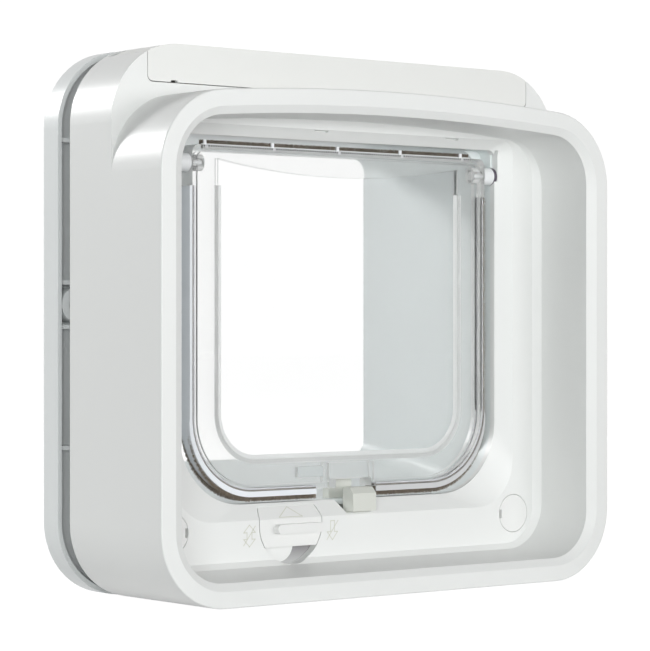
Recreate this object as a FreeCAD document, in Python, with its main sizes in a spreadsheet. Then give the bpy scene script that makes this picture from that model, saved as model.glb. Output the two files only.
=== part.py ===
import FreeCAD, Part
import math
import os
import types

import Sketcher

# Cat flap, in millimetres. X runs across the door, Z up from the flat base, and Y from the room to the
# outdoors. Depths are counted back from the hood's front rim, and the frame's origin is below the middle.

os.makedirs("parts", exist_ok=True)
doc = FreeCAD.newDocument("cat_flap")
sheet = doc.addObject("Spreadsheet::Sheet", "sizes")

# Main sizes. The rest of the table follows from them or adds to them.
FRAME_WIDTH = 210
FRAME_HEIGHT = 195.9
HOOD_REACH = 30
BODY_DEPTH = 26
DOOR_GAP = 7.9
OUTER_DEPTH = 10.3
TUNNEL_OVERHANG = 33.8

# Each entry is the sheet's name for a size and its number, or its formula in the sheet's own names.
DIMENSIONS = [
    ("Overall", [
        ("frame_width", FRAME_WIDTH), ("frame_height", FRAME_HEIGHT),
        ("frame_corner", 28.5), ("frame_low_corner", 27),
        ("hood_reach", HOOD_REACH), ("body_depth", BODY_DEPTH), ("door_gap", DOOR_GAP),
        ("outer_depth", OUTER_DEPTH), ("tunnel_overhang", TUNNEL_OVERHANG),
        ("shell_wall", 2.4), ("face_wall", 1.8), ("seat_gap", 0.3), ("seam_gap", 0.2),
    ]),
    ("Hood", [
        ("hood_top", "frame_height - 14.8"), ("hood_arch", 1000), ("hood_top_corner", 28),
        ("rim_side", 6), ("rim_end", 5.9), ("rim_round", 0.6),
        ("lip_side", 3.7), ("lip_end", 2.7), ("lip_depth", 2),
        ("floor_draft", 2), ("side_draft", 0.8),
        ("cove_depth", 2), ("cove_side", 3.2), ("cove_low", 2), ("cove_top", 0.3),
    ]),
    ("Fascia and opening", [
        ("fascia_depth", "hood_reach - 2"), ("fold_half", "frame_width / 2 - 24"), ("fold_low", 27.2),
        ("fold_high", "frame_height - 27.3"), ("fold_corner", 18), ("fold_top_corner", 5),
        ("slope_depth", 4), ("mouth_half", "frame_width / 2 - 30"), ("mouth_low", 32.8),
        ("mouth_high", "frame_height - 31"), ("mouth_low_corner", 27), ("mouth_top_corner", 3),
        ("collar_wall", 2.6), ("collar_back", 2.4),
        ("ear_recess_reach", 1), ("ear_recess_low", "frame_height - 43"),
        ("slot_left", -13.7), ("slot_right", 50), ("slot_long", 6.5), ("slot_tall", 0.7),
        ("slot_low", "fold_high - 0.9"), ("slot_deep", 2.4),
    ]),
    ("Tunnel", [
        ("tunnel_half", "frame_width / 2 - 34"), ("tunnel_wall", 2), ("tunnel_corner", 6),
        ("step_depth", "hood_reach + 10"), ("ramp_start", "hood_reach + 16"), ("ramp_rise", 11.5),
        ("flange_reach", 3.4), ("flange_thick", 2), ("ramp_ribs", 5), ("rib_thick", 1.4),
        ("coil_width", 8), ("coil_thick", 0.9), ("coil_depth", "hood_reach + 13.8"),
    ]),
    ("Flap", [
        ("flap_depth", "hood_reach + 5"), ("flap_thick", 6.8), ("flap_half", "frame_width / 2 - 35.5"),
        ("flap_low", 37.2), ("flap_high", "frame_height - 34.7"), ("flap_corner", 27),
        ("flap_top_corner", 3), ("flap_rim", 2.2), ("web_thick", 3.4), ("pane_thick", 2.2),
        ("pane_half", "frame_width / 2 - 48"), ("pane_low", 48.6),
        ("pane_side_high", "frame_height - 39.2"), ("pane_sag", 5), ("pane_corner", 17),
        ("axis_height", "frame_height - 41.1"), ("journal_radius", 1.6), ("running_gap", 0.05),
        ("pin_head_radius", 3.4), ("journal_reach", 5), ("pin_seat", 1.8),
        ("catch_left", -7.5), ("catch_right", 14), ("catch_low", 40.4), ("catch_high", 46.4),
        ("catch_play", 3), ("magnet_seat", 2), ("magnet_left", -21), ("magnet_wide", 12),
        ("magnet_tall", 4), ("magnet_thick", 2.6),
    ]),
    ("Pile seals", [
        ("pile_seat", 1.2), ("pile_thick", 1.6), ("pile_row", 2.2), ("pile_side_tip", 1.1),
        ("pile_low_tip", 3.2), ("pile_top_tip", 2.1), ("pile_high", "frame_height - 49.4"),
        ("pile_gap_left", -13.5), ("pile_gap_right", 15), ("pile_top_half", "frame_width / 2 - 41"),
    ]),
    ("Latches", [
        ("latch_left", -1.4), ("latch_right", 9.6), ("front_blade_depth", "hood_reach - 4.8"),
        ("blade_thick", 1.8), ("front_leg_depth", "hood_reach - 0.6"), ("front_top", 37.3),
        ("hook_low", 28.5), ("hook_chamfer", 2.2), ("rear_blade_depth", "hood_reach + 9.7"),
        ("rear_blade_thick", 3.4), ("rear_top", 39.6), ("latch_travel", 5), ("foot_thick", 2),
        ("foot_left", 5.4), ("leg_right", 2.4), ("notch_slant", 3.6), ("notch_low", 27.9),
        ("guide_wall", 1.5), ("guide_gap", 0.2),
    ]),
    ("Cams and motors", [
        ("cam_depth", "hood_reach + 11.4"), ("cam_height", 12), ("cam_small", 3), ("cam_wide", 2.6),
        ("cam_gap", 0.5), ("cam_turn", 240), ("cam_shaft", 1.5), ("cam_shaft_reach", 5),
        ("motor_long", 24), ("motor_deep", 10), ("motor_tall", 12), ("motor_gap", 0.6),
        ("gearbox_long", 9),
    ]),
    ("Knob", [
        ("knob_across", -28.2), ("knob_height", 25.2), ("knob_radius", 14.2), ("knob_flat", 8.2),
        ("knob_thick", 3), ("well_gap", 0.35), ("well_wall", 2.4), ("ridge_tall", 3.4),
        ("ridge_out", 3), ("ridge_left", 8), ("ridge_right", 12.6), ("ridge_drop", 1.6),
        ("knob_shaft", 3), ("knob_shaft_end", 1.5), ("clip_thick", 1), ("clip_reach", 1.6),
        ("clip_groove", 0.8),
    ]),
    ("Fixings", [
        ("screw_across", "frame_width / 2 - 23.8"), ("screw_low", 24.1),
        ("high_screw_across", "frame_width / 2 - 23"), ("screw_high", "frame_height - 14.9"),
        ("cap_radius", 7.2), ("cap_thick", 2), ("tower_radius", 5.6), ("cap_tower", 9.2),
        ("cap_tower_long", 12), ("head_radius", 4), ("head_tall", 2.6), ("shank_radius", 2),
        ("shank_gap", 0.2), ("head_shelf", 8), ("boss_radius", 5), ("notch_wide", 3.4), ("notch_deep", 1.2),
    ]),
    ("Battery bay and cover", [
        ("cover_half", "frame_width / 2 - 15"), ("cover_low", "frame_height - 13.9"), ("cover_wall", 1.5),
        ("cover_gap", 0.3), ("cover_corner", 2.2), ("pry_across", "frame_width / 2 - 26.5"),
        ("pry_wide", 2.8), ("pry_tall", 0.7),
        ("cell_radius", 7), ("cell_long", 49.5), ("nub_radius", 2.7), ("nub_long", 1),
        ("cell_inner", 22), ("cell_gap", 0.2), ("bay_floor", 0.9), ("contact_thick", 0.8),
        ("hinge_axis_in", 3.5), ("hinge_axis_down", 1.8), ("barrel_radius", 1.5), ("cover_pin", 0.8),
        ("barrel_near", 58), ("barrel_long", 10), ("lug_long", 3.6), ("hinge_clear", 2.4),
        ("button_radius", 3), ("button_tall", 4), ("button_travel", 1.5),
        ("deck_height", "frame_height - 9.9"), ("deck_half", 9), ("bay_wall", 1.4),
        ("well_half", "frame_width / 2 - 18.5"),
    ]),
    ("Rear cover and board", [
        ("rear_wall", 2.4), ("board_left", "frame_width / 2 - 27.5"), ("board_right", "frame_width / 2 - 6"),
        ("board_low", 62), ("board_high", 138), ("board_thick", 1.6), ("board_stand", 5),
        ("post_radius", 2.4),
    ]),
    ("Exterior frame", [
        ("outer_wall", 1.7), ("outer_face", 2), ("outer_round", 1.5), ("outer_collar", 2.2),
        ("mid_boss_across", "frame_width / 2 - 8.5"), ("mid_boss_height", 104.4), ("mid_boss_radius", 6.2),
        ("outer_rib_wide", 1.5), ("boss_rib_apart", 7.9), ("low_rib", 53.4), ("high_rib", 163),
    ]),
]


class Size:
    """A length that carries its number and the sheet expression behind it."""

    def __init__(self, text, number):
        self.text = text
        self.number = number

    def __add__(self, other):
        other = as_size(other)
        return Size(f"({self.text} + {other.text})", self.number + other.number)

    def __sub__(self, other):
        other = as_size(other)
        return Size(f"({self.text} - {other.text})", self.number - other.number)

    def __mul__(self, factor):
        return Size(f"({self.text} * {factor})", self.number * factor)

    def __truediv__(self, divisor):
        return Size(f"({self.text} / {divisor})", self.number / divisor)

    def __neg__(self):
        return Size(f"(0 - {self.text})", -self.number)


def as_size(length):
    return length if isinstance(length, Size) else Size(str(length), length)


def fill_sheet():
    """Write each driving dimension in a row of its own and return them by name."""
    aliases = []
    row = 1
    for heading, entries in DIMENSIONS:
        sheet.set(f"A{row}", heading)
        row += 1
        for alias, amount in entries:
            sheet.set(f"A{row}", alias.replace("_", " "))
            sheet.set(f"B{row}", f"={amount}")
            sheet.setAlias(f"B{row}", alias)
            aliases.append(alias)
            row += 1
    doc.recompute()
    named = {alias: Size(f"sizes.{alias}", float(sheet.get(alias))) for alias in aliases}
    return types.SimpleNamespace(**named)


s = fill_sheet()
zero = Size("0", 0)

# Depths and widths that follow from the driving ones.
half_width = s.frame_width / 2
body_rear = s.hood_reach + s.body_depth
outer_front = body_rear + s.door_gap
outer_rear = outer_front + s.outer_depth
total_depth = outer_rear + s.tunnel_overhang
half_depth = total_depth / 2
slope_rear = s.fascia_depth + s.slope_depth
collar_rear = slope_rear + s.collar_back
plate_front = body_rear - s.rear_wall
flap_front = s.flap_depth - s.flap_thick / 2
tunnel_low = s.mouth_low - s.tunnel_wall
tunnel_high = s.mouth_high + s.tunnel_wall
tunnel_outer = s.tunnel_half + s.tunnel_wall
cover_rear = body_rear - s.hinge_axis_in
hinge_height = s.frame_height - s.hinge_axis_down

# How far from its plane an edge of a flat face may stray.
flatness = 0.01


# Sketch and feature helpers.

def new_body(label):
    body = doc.addObject("PartDesign::Body", label)
    body.Label = label
    return body


def origin_plane(body, role):
    return [feature for feature in body.Origin.OriginFeatures if feature.Role == role][0]


def sketch_at(body, name, depth):
    """A sketch in the XZ plane, at a depth behind the rim."""
    sketch = body.newObject("Sketcher::SketchObject", name)
    sketch.AttachmentSupport = [(origin_plane(body, "XZ_Plane"), "")]
    sketch.MapMode = "FlatFace"
    sketch.setExpression("AttachmentOffset.Base.z", (half_depth - depth).text)
    return sketch


def drive(sketch, kind, places, size):
    """Add a dimension to the sketch and bind it to the sheet."""
    index = sketch.addConstraint(Sketcher.Constraint(kind, *places, size.number))
    name = f"size_{index}"
    sketch.renameConstraint(index, name)
    sketch.setExpression(f"Constraints.{name}", size.text)


def line(start, end):
    return Part.LineSegment(FreeCAD.Vector(*start, 0), FreeCAD.Vector(*end, 0))


def arc(centre, radius, start_angle, end_angle):
    circle = Part.Circle(FreeCAD.Vector(*centre, 0), FreeCAD.Vector(0, 0, 1), radius)
    return Part.ArcOfCircle(circle, start_angle, end_angle)


def rounded_box(sketch, half, low, high, low_radius, high_radius, arch=None):
    """A closed outline, even about X = 0, with rounded corners and a flat or arched top."""
    first = sketch.GeometryCount
    wide, bottom, top = half.number, low.number, high.number
    small, large = low_radius.number, high_radius.number
    quarter = math.pi / 2
    if arch is None:
        crown = line((wide - large, top), (large - wide, top))
        shoulder = top - large
        lean = 0
    else:
        bow = arch.number
        drop = math.sqrt((bow - large) ** 2 - (wide - large) ** 2)
        shoulder = top - bow + drop
        lean = math.atan2(wide - large, drop)
        crown = arc((0, top - bow), bow, quarter - lean, quarter + lean)
    sketch.addGeometry([
        line((small - wide, bottom), (wide - small, bottom)),
        arc((wide - small, bottom + small), small, -quarter, 0),
        line((wide, bottom + small), (wide, shoulder)),
        arc((wide - large, shoulder), large, 0, quarter - lean),
        crown,
        arc((large - wide, shoulder), large, quarter + lean, math.pi),
        line((-wide, shoulder), (-wide, bottom + small)),
        arc((small - wide, bottom + small), small, math.pi, 3 * quarter),
    ])
    floor, low_right, right, top_right, crest, top_left, left, low_left = range(first, first + 8)
    ring = [floor, low_right, right, top_right, crest, top_left, left, low_left]
    for here, after in zip(ring, ring[1:] + ring[:1]):
        sketch.addConstraint(Sketcher.Constraint("Tangent", here, 2, after, 1))
    sketch.addConstraint(Sketcher.Constraint("Horizontal", floor))
    sketch.addConstraint(Sketcher.Constraint("Vertical", right))
    sketch.addConstraint(Sketcher.Constraint("Vertical", left))
    for corner in (low_right, low_left):
        drive(sketch, "Radius", (corner,), low_radius)
    for corner in (top_right, top_left):
        drive(sketch, "Radius", (corner,), high_radius)
    drive(sketch, "DistanceX", (right, 1), half)
    drive(sketch, "DistanceX", (left, 1), -half)
    drive(sketch, "DistanceY", (floor, 1), low)
    if arch is None:
        sketch.addConstraint(Sketcher.Constraint("Horizontal", crest))
        drive(sketch, "DistanceY", (crest, 1), high)
    else:
        drive(sketch, "DistanceX", (crest, 3), zero)
        drive(sketch, "DistanceY", (crest, 3), high - arch)
        drive(sketch, "Radius", (crest,), arch)


def polygon(sketch, points):
    """A closed outline of straight lines through the given places."""
    first = sketch.GeometryCount
    numbers = [(across.number, height.number) for across, height in points]
    count = len(points)
    sketch.addGeometry([line(numbers[i], numbers[(i + 1) % count]) for i in range(count)])
    for i in range(count):
        after = first + (i + 1) % count
        sketch.addConstraint(Sketcher.Constraint("Coincident", first + i, 2, after, 1))
        drive(sketch, "DistanceX", (first + i, 1), points[i][0])
        drive(sketch, "DistanceY", (first + i, 1), points[i][1])


def rectangle(sketch, left, right, low, high):
    polygon(sketch, [(left, low), (right, low), (right, high), (left, high)])


def circle(sketch, across, height, radius):
    centre = FreeCAD.Vector(across.number, height.number, 0)
    index = sketch.addGeometry(Part.Circle(centre, FreeCAD.Vector(0, 0, 1), radius.number))
    drive(sketch, "Radius", (index,), radius)
    drive(sketch, "DistanceX", (index, 3), across)
    drive(sketch, "DistanceY", (index, 3), height)


def both_sides(sketch, across, height, radius):
    for side in (across, -across):
        circle(sketch, side, height, radius)


def pad(body, name, sketch, length):
    """Grow the sketch rearwards."""
    feature = body.newObject("PartDesign::Pad", name)
    feature.Profile = sketch
    feature.Reversed = True
    feature.setExpression("Length", length.text)
    doc.recompute()
    return feature


def pocket(body, name, sketch, length):
    """Cut the sketch rearwards, and make sure that it cuts."""
    before = body.Shape.Volume
    feature = body.newObject("PartDesign::Pocket", name)
    feature.Profile = sketch
    feature.setExpression("Length", length.text)
    doc.recompute()
    if not body.Shape.Volume < before:
        raise ValueError(f"{body.Label}: {name} cuts nothing")
    return feature


def loft_cut(body, name, front_sketch, rear_sketch):
    before = body.Shape.Volume
    feature = body.newObject("PartDesign::SubtractiveLoft", name)
    feature.Profile = front_sketch
    feature.Sections = [rear_sketch]
    feature.Ruled = True
    doc.recompute()
    if not body.Shape.Volume < before:
        raise ValueError(f"{body.Label}: {name} cuts nothing")
    return feature


def pad_between(body, name, start, end, draw):
    """Pad from one depth to another what the draw function puts in the sketch."""
    sketch = sketch_at(body, name + "_sketch", start)
    draw(sketch)
    return pad(body, name, sketch, end - start)


def pocket_between(body, name, start, end, draw):
    sketch = sketch_at(body, name + "_sketch", start)
    draw(sketch)
    return pocket(body, name, sketch, end - start)


def loft_cut_between(body, name, start, end, draw_front, draw_rear):
    front_sketch = sketch_at(body, name + "_front", start)
    draw_front(front_sketch)
    rear_sketch = sketch_at(body, name + "_rear", end)
    draw_rear(rear_sketch)
    return loft_cut(body, name, front_sketch, rear_sketch)


# Outlines that more than one piece shares.

def frame_outline(sketch, inset=zero):
    rounded_box(sketch, half_width - inset, inset, s.frame_height - inset,
                s.frame_low_corner - inset, s.frame_corner - inset)


def hood_outline(sketch, inset=zero):
    rounded_box(sketch, half_width - inset, inset, s.hood_top - inset,
                s.frame_low_corner - inset, s.hood_top_corner - inset, s.hood_arch - inset)


def mouth_outline(sketch, side, end, low_extra=zero, side_extra=zero):
    """The hood's inner outline, a side width and an end width in from the rim."""
    rounded_box(sketch, half_width - side - side_extra, end + low_extra, s.hood_top - end,
                s.frame_low_corner - side, s.hood_top_corner - side, s.hood_arch - end)


def fold_outline(sketch, grow=zero):
    rounded_box(sketch, s.fold_half + grow, s.fold_low - grow, s.fold_high + grow,
                s.fold_corner + grow, s.fold_top_corner + grow)


def opening_outline(sketch, grow=zero):
    rounded_box(sketch, s.mouth_half + grow, s.mouth_low - grow, s.mouth_high + grow,
                s.mouth_low_corner + grow, s.mouth_top_corner + grow)


def tunnel_outline(sketch, grow=zero, rise=zero):
    rounded_box(sketch, s.tunnel_half + grow, s.mouth_low - grow + rise, s.mouth_high + grow,
                s.tunnel_corner + grow, s.tunnel_corner + grow)


def crown_box(sketch, half, low, inset=zero):
    """The middle of the frame's top, cut off at a half width and a height, with rounded lower corners."""
    first = sketch.GeometryCount
    reach = (half_width - s.frame_corner).number
    centre_height = (s.frame_height - s.frame_corner).number
    radius = (s.frame_corner - inset).number
    edge, bottom, corner = half.number, low.number, s.cover_corner.number
    top = centre_height + radius
    start = math.acos((edge - reach) / radius)
    shoulder = centre_height + radius * math.sin(start)
    quarter = math.pi / 2
    sketch.addGeometry([
        line((corner - edge, bottom), (edge - corner, bottom)),
        arc((edge - corner, bottom + corner), corner, -quarter, 0),
        line((edge, bottom + corner), (edge, shoulder)),
        arc((reach, centre_height), radius, start, quarter),
        line((reach, top), (-reach, top)),
        arc((-reach, centre_height), radius, quarter, math.pi - start),
        line((-edge, shoulder), (-edge, bottom + corner)),
        arc((corner - edge, bottom + corner), corner, math.pi, 3 * quarter),
    ])
    floor, low_right, right, right_arc, crest, left_arc, left, low_left = range(first, first + 8)
    for here, after in ((floor, low_right), (low_right, right), (left, low_left), (low_left, floor)):
        sketch.addConstraint(Sketcher.Constraint("Tangent", here, 2, after, 1))
    for here, after in ((right, right_arc), (left_arc, left)):
        sketch.addConstraint(Sketcher.Constraint("Coincident", here, 2, after, 1))
    sketch.addConstraint(Sketcher.Constraint("Tangent", right_arc, 2, crest, 1))
    sketch.addConstraint(Sketcher.Constraint("Tangent", crest, 2, left_arc, 1))
    sketch.addConstraint(Sketcher.Constraint("Horizontal", floor))
    sketch.addConstraint(Sketcher.Constraint("Horizontal", crest))
    sketch.addConstraint(Sketcher.Constraint("Vertical", right))
    sketch.addConstraint(Sketcher.Constraint("Vertical", left))
    for turn in (low_right, low_left):
        drive(sketch, "Radius", (turn,), s.cover_corner)
    drive(sketch, "DistanceX", (right, 1), half)
    drive(sketch, "DistanceX", (left, 1), -half)
    drive(sketch, "DistanceY", (floor, 1), low)
    drive(sketch, "DistanceX", (right_arc, 3), half_width - s.frame_corner)
    drive(sketch, "DistanceX", (left_arc, 3), s.frame_corner - half_width)
    drive(sketch, "DistanceY", (right_arc, 3), s.frame_height - s.frame_corner)
    drive(sketch, "DistanceY", (left_arc, 3), s.frame_height - s.frame_corner)
    drive(sketch, "Radius", (right_arc,), s.frame_corner - inset)


def round_edges_at(body, name, depth, radius):
    """Round the edges that lie wholly at one depth."""
    level = row(depth).number
    base = body.Tip
    names = []
    for index, edge in enumerate(base.Shape.Edges, start=1):
        box = edge.BoundBox
        if max(abs(box.YMin - level), abs(box.YMax - level)) < flatness:
            names.append(f"Edge{index}")
    rounding = body.newObject("PartDesign::Fillet", name)
    rounding.Base = (base, names)
    rounding.setExpression("Radius", radius.text)
    doc.recompute()
    return rounding


def side_sketch(body, name, across):
    """A sketch in the YZ plane: its first axis runs rearwards, its second up."""
    sketch = body.newObject("Sketcher::SketchObject", name)
    sketch.AttachmentSupport = [(origin_plane(body, "YZ_Plane"), "")]
    sketch.MapMode = "FlatFace"
    sketch.setExpression("AttachmentOffset.Base.z", across.text)
    return sketch


def row(depth):
    """The frame's own Y for a depth behind the rim."""
    return depth - half_depth


def grow_across(body, name, left, right, draw):
    """Pad along X what the draw function puts in a side sketch."""
    sketch = side_sketch(body, name + "_sketch", left)
    draw(sketch)
    feature = body.newObject("PartDesign::Pad", name)
    feature.Profile = sketch
    feature.setExpression("Length", (right - left).text)
    doc.recompute()
    return feature


def cut_across(body, name, left, right, draw):
    sketch = side_sketch(body, name + "_sketch", left)
    draw(sketch)
    before = body.Shape.Volume
    feature = body.newObject("PartDesign::Pocket", name)
    feature.Profile = sketch
    feature.Reversed = True
    feature.setExpression("Length", (right - left).text)
    doc.recompute()
    if not body.Shape.Volume < before:
        raise ValueError(f"{body.Label}: {name} cuts nothing")
    return feature


def repeat_along(body, name, feature, role, step, count):
    """A linear pattern of one feature along an axis of the body's own origin."""
    pattern = body.newObject("PartDesign::LinearPattern", name)
    pattern.Originals = [feature]
    pattern.Direction = (origin_plane(body, role), [""])
    pattern.Occurrences = count
    pattern.setExpression("Length", (step * (count - 1)).text)
    body.Tip = pattern
    doc.recompute()
    return pattern


def place(piece, across, depth, height):
    """Bind the place of a primitive's own corner or centre."""
    piece.setExpression("Placement.Base.x", across.text)
    piece.setExpression("Placement.Base.y", row(depth).text)
    piece.setExpression("Placement.Base.z", height.text)


def block(label, left, right, front, back, low, high):
    piece = doc.addObject("Part::Box", label)
    piece.Label = label
    piece.setExpression("Length", (right - left).text)
    piece.setExpression("Width", (back - front).text)
    piece.setExpression("Height", (high - low).text)
    place(piece, left, front, low)
    return piece


def rod_across(label, radius, left, right, depth, height):
    """A cylinder along X."""
    piece = doc.addObject("Part::Cylinder", label)
    piece.Label = label
    piece.setExpression("Radius", radius.text)
    piece.setExpression("Height", (right - left).text)
    piece.Placement.Rotation = FreeCAD.Rotation(FreeCAD.Vector(0, 1, 0), 90)
    place(piece, left, depth, height)
    return piece


def rod_rearwards(label, radius, across, front, back, height):
    """A cylinder along Y."""
    piece = doc.addObject("Part::Cylinder", label)
    piece.Label = label
    piece.setExpression("Radius", radius.text)
    piece.setExpression("Height", (back - front).text)
    piece.Placement.Rotation = FreeCAD.Rotation(FreeCAD.Vector(1, 0, 0), -90)
    place(piece, across, front, height)
    return piece


def fused(label, pieces):
    whole = doc.addObject("Part::MultiFuse", label)
    whole.Label = label
    whole.Shapes = pieces
    return whole


def grouped(label, pieces):
    """Several like solids in one piece of the model."""
    group = doc.addObject("Part::Compound", label)
    group.Label = label
    group.Links = pieces
    return group


# The indoor housing: body, hood and fascia in one moulding.

mouth_side = s.rim_side + s.lip_side
mouth_end = s.rim_end + s.lip_end
knob_well_radius = s.knob_radius + s.well_gap
knob_well_rear = s.fascia_depth + s.knob_thick + s.seat_gap
knob_boss_rear = knob_well_rear + s.well_wall
bay_low = tunnel_high + s.seam_gap
bay_floor_top = bay_low + s.bay_floor
bay_front = s.hood_reach + s.face_wall
cover_seat_rear = cover_rear + s.barrel_radius + s.seat_gap
latch_slot_left = s.latch_left - s.seat_gap
latch_slot_right = s.latch_right + s.seat_gap
high_tower_front = plate_front - s.head_shelf
low_shelf = s.fascia_depth + s.head_shelf
shank_hole = s.shank_radius + s.shank_gap
cam_low = s.cam_height - s.motor_tall / 2
foot_low = s.cam_height + s.cam_small + s.cam_gap
motor_front = s.cam_depth - s.motor_deep / 2
motor_rear = s.cam_depth + s.motor_deep / 2

housing = new_body("front_housing")
pad_between(housing, "body_block", s.hood_reach, body_rear, frame_outline)
pad_between(housing, "hood_block", zero, s.hood_reach, hood_outline)
round_edges_at(housing, "rim_rounding", zero, s.rim_round)


def body_hollow(sketch):
    frame_outline(sketch, s.shell_wall)


def hollow_round_collar(sketch):
    frame_outline(sketch, s.shell_wall)
    fold_outline(sketch, s.collar_wall)


def hood_hollow(sketch):
    hood_outline(sketch, s.shell_wall)
    mouth_outline(sketch, mouth_side - s.shell_wall, mouth_end - s.shell_wall)


def fascia_hollow(sketch):
    """Thin the fascia's back beside and below the collar."""
    inner = s.fold_half + s.collar_wall
    outer = half_width - mouth_side - s.shell_wall
    low = s.screw_low + s.cap_tower
    rectangle(sketch, inner, outer, low, s.ear_recess_low)
    rectangle(sketch, -outer, -inner, low, s.ear_recess_low)
    reach = s.screw_across - s.cap_tower - s.shell_wall
    rectangle(sketch, -reach, reach, mouth_end + s.floor_draft + s.shell_wall / 2, s.fold_low - s.collar_wall)


pocket_between(housing, "body_hollow", collar_rear, body_rear, body_hollow)
pocket_between(housing, "front_hollow", bay_front, collar_rear, hollow_round_collar)
pocket_between(housing, "hood_hollow", s.shell_wall, bay_front, hood_hollow)
pocket_between(housing, "fascia_hollow", s.fascia_depth + s.shell_wall, bay_front, fascia_hollow)


def bay_block(sketch):
    crown_box(sketch, s.cover_half + s.bay_wall, bay_low)


def low_towers(sketch):
    both_sides(sketch, s.screw_across, s.screw_low, s.tower_radius)


def cap_towers(sketch):
    both_sides(sketch, s.screw_across, s.screw_low, s.cap_tower)


def knob_boss(sketch):
    circle(sketch, s.knob_across, s.knob_height, knob_well_radius + s.well_wall)


def motor_cradles(sketch):
    for left in (motor_right_start, motor_left_end):
        rectangle(sketch, left, left + s.motor_long, s.shell_wall / 2, cam_low)


motor_right_start = s.latch_right + s.motor_gap
motor_left_end = s.latch_left - s.motor_gap - s.motor_long

pad_between(housing, "bay_block", s.hood_reach, plate_front, bay_block)
pad_between(housing, "low_towers", s.fascia_depth + s.shell_wall, plate_front, low_towers)
pad_between(housing, "cap_towers", s.fascia_depth, s.fascia_depth + s.cap_tower_long, cap_towers)
pad_between(housing, "knob_boss", s.fascia_depth, knob_boss_rear, knob_boss)
pad_between(housing, "motor_cradles", s.fascia_depth + s.shell_wall, motor_rear, motor_cradles)


# The hood's mouth tapers in from the lip, its floor rises, and a bevel leads on to the fascia.

def lip_front(sketch):
    mouth_outline(sketch, s.rim_side, s.rim_end)


def lip_rear(sketch):
    mouth_outline(sketch, mouth_side, mouth_end)


def mouth_rear(sketch):
    mouth_outline(sketch, mouth_side, mouth_end, s.floor_draft, s.side_draft)


def cove_rear(sketch):
    side = mouth_side + s.cove_side
    end = mouth_end + s.cove_top
    rounded_box(sketch, half_width - side - s.side_draft, mouth_end + s.floor_draft + s.cove_low,
                s.hood_top - end, s.frame_low_corner - side, s.hood_top_corner - side, s.hood_arch - end)


cove_front = s.fascia_depth - s.cove_depth
loft_cut_between(housing, "lip", zero, s.lip_depth, lip_front, lip_rear)
loft_cut_between(housing, "mouth", s.lip_depth, cove_front, lip_rear, mouth_rear)
loft_cut_between(housing, "cove", cove_front, s.fascia_depth, mouth_rear, cove_rear)
loft_cut_between(housing, "slope", s.fascia_depth, slope_rear, fold_outline, opening_outline)
pocket_between(housing, "opening", slope_rear, collar_rear, opening_outline)


def ear_recesses(sketch):
    outer = s.mouth_half + s.ear_recess_reach
    inner = s.mouth_half - s.seat_gap
    rectangle(sketch, inner, outer, s.ear_recess_low, s.mouth_high)
    rectangle(sketch, -outer, -inner, s.ear_recess_low, s.mouth_high)


def header_slots(sketch):
    for middle in (s.slot_left, s.slot_right):
        rectangle(sketch, middle - s.slot_long / 2, middle + s.slot_long / 2,
                  s.slot_low, s.slot_low + s.slot_tall)


def pin_seat_profile(sketch):
    circle(sketch, row(s.flap_depth), s.axis_height, s.pin_head_radius + s.running_gap)


def knob_well(sketch):
    circle(sketch, s.knob_across, s.knob_height, knob_well_radius)


def clip_room(sketch):
    circle(sketch, s.knob_across, s.knob_height, s.knob_shaft + s.clip_reach + s.seat_gap)


def knob_bearing(sketch):
    circle(sketch, s.knob_across, s.knob_height, s.knob_shaft + s.running_gap)


def cap_recesses(sketch):
    both_sides(sketch, s.screw_across, s.screw_low, s.cap_radius + s.seam_gap)


def head_recesses(sketch):
    both_sides(sketch, s.screw_across, s.screw_low, s.head_radius + s.seam_gap)


def low_shank_holes(sketch):
    both_sides(sketch, s.screw_across, s.screw_low, shank_hole)


def latch_notch(sketch):
    top = s.mouth_low + s.seat_gap
    polygon(sketch, [(latch_slot_left, s.notch_low), (latch_slot_right, s.notch_low),
                     (latch_slot_right, top), (latch_slot_left - s.notch_slant, top)])


def latch_guide(sketch):
    rectangle(sketch, latch_slot_left, latch_slot_right, foot_low - s.guide_wall, s.mouth_low)


cap_floor = s.fascia_depth + s.cap_thick
pocket_between(housing, "ear_recesses", s.fascia_depth, collar_rear, ear_recesses)
pocket_between(housing, "header_slots", s.fascia_depth, s.fascia_depth + s.slot_deep, header_slots)
pocket_between(housing, "knob_well", cove_front, knob_well_rear, knob_well)
pocket_between(housing, "knob_bearing", s.fascia_depth, knob_boss_rear, knob_bearing)
pocket_between(housing, "clip_room", knob_boss_rear, collar_rear, clip_room)
pocket_between(housing, "cap_recesses", s.fascia_depth, cap_floor, cap_recesses)
pocket_between(housing, "head_recesses", s.fascia_depth, low_shelf, head_recesses)
pocket_between(housing, "low_shank_holes", s.fascia_depth, body_rear, low_shank_holes)
pocket_between(housing, "latch_notch", s.fascia_depth, collar_rear, latch_notch)
pocket_between(housing, "latch_guide", s.front_leg_depth - s.guide_gap, collar_rear, latch_guide)
pin_seat_near = s.mouth_half - s.seat_gap
pin_seat_far = s.mouth_half + s.tunnel_wall
cut_across(housing, "pin_notch_right", pin_seat_near, pin_seat_far, pin_seat_profile)
cut_across(housing, "pin_notch_left", -pin_seat_far, -pin_seat_near, pin_seat_profile)


# The battery bay is cut into the top of the body; the cover closes it.

def cover_seat(sketch):
    crown_box(sketch, s.cover_half, s.cover_low, -s.shell_wall / 2)


def cell_well(sketch):
    rectangle(sketch, -s.well_half, s.well_half, bay_floor_top, s.cover_low + s.seat_gap)


def button_deck(sketch):
    rectangle(sketch, -s.deck_half, s.deck_half, bay_floor_top, s.deck_height)


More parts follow.
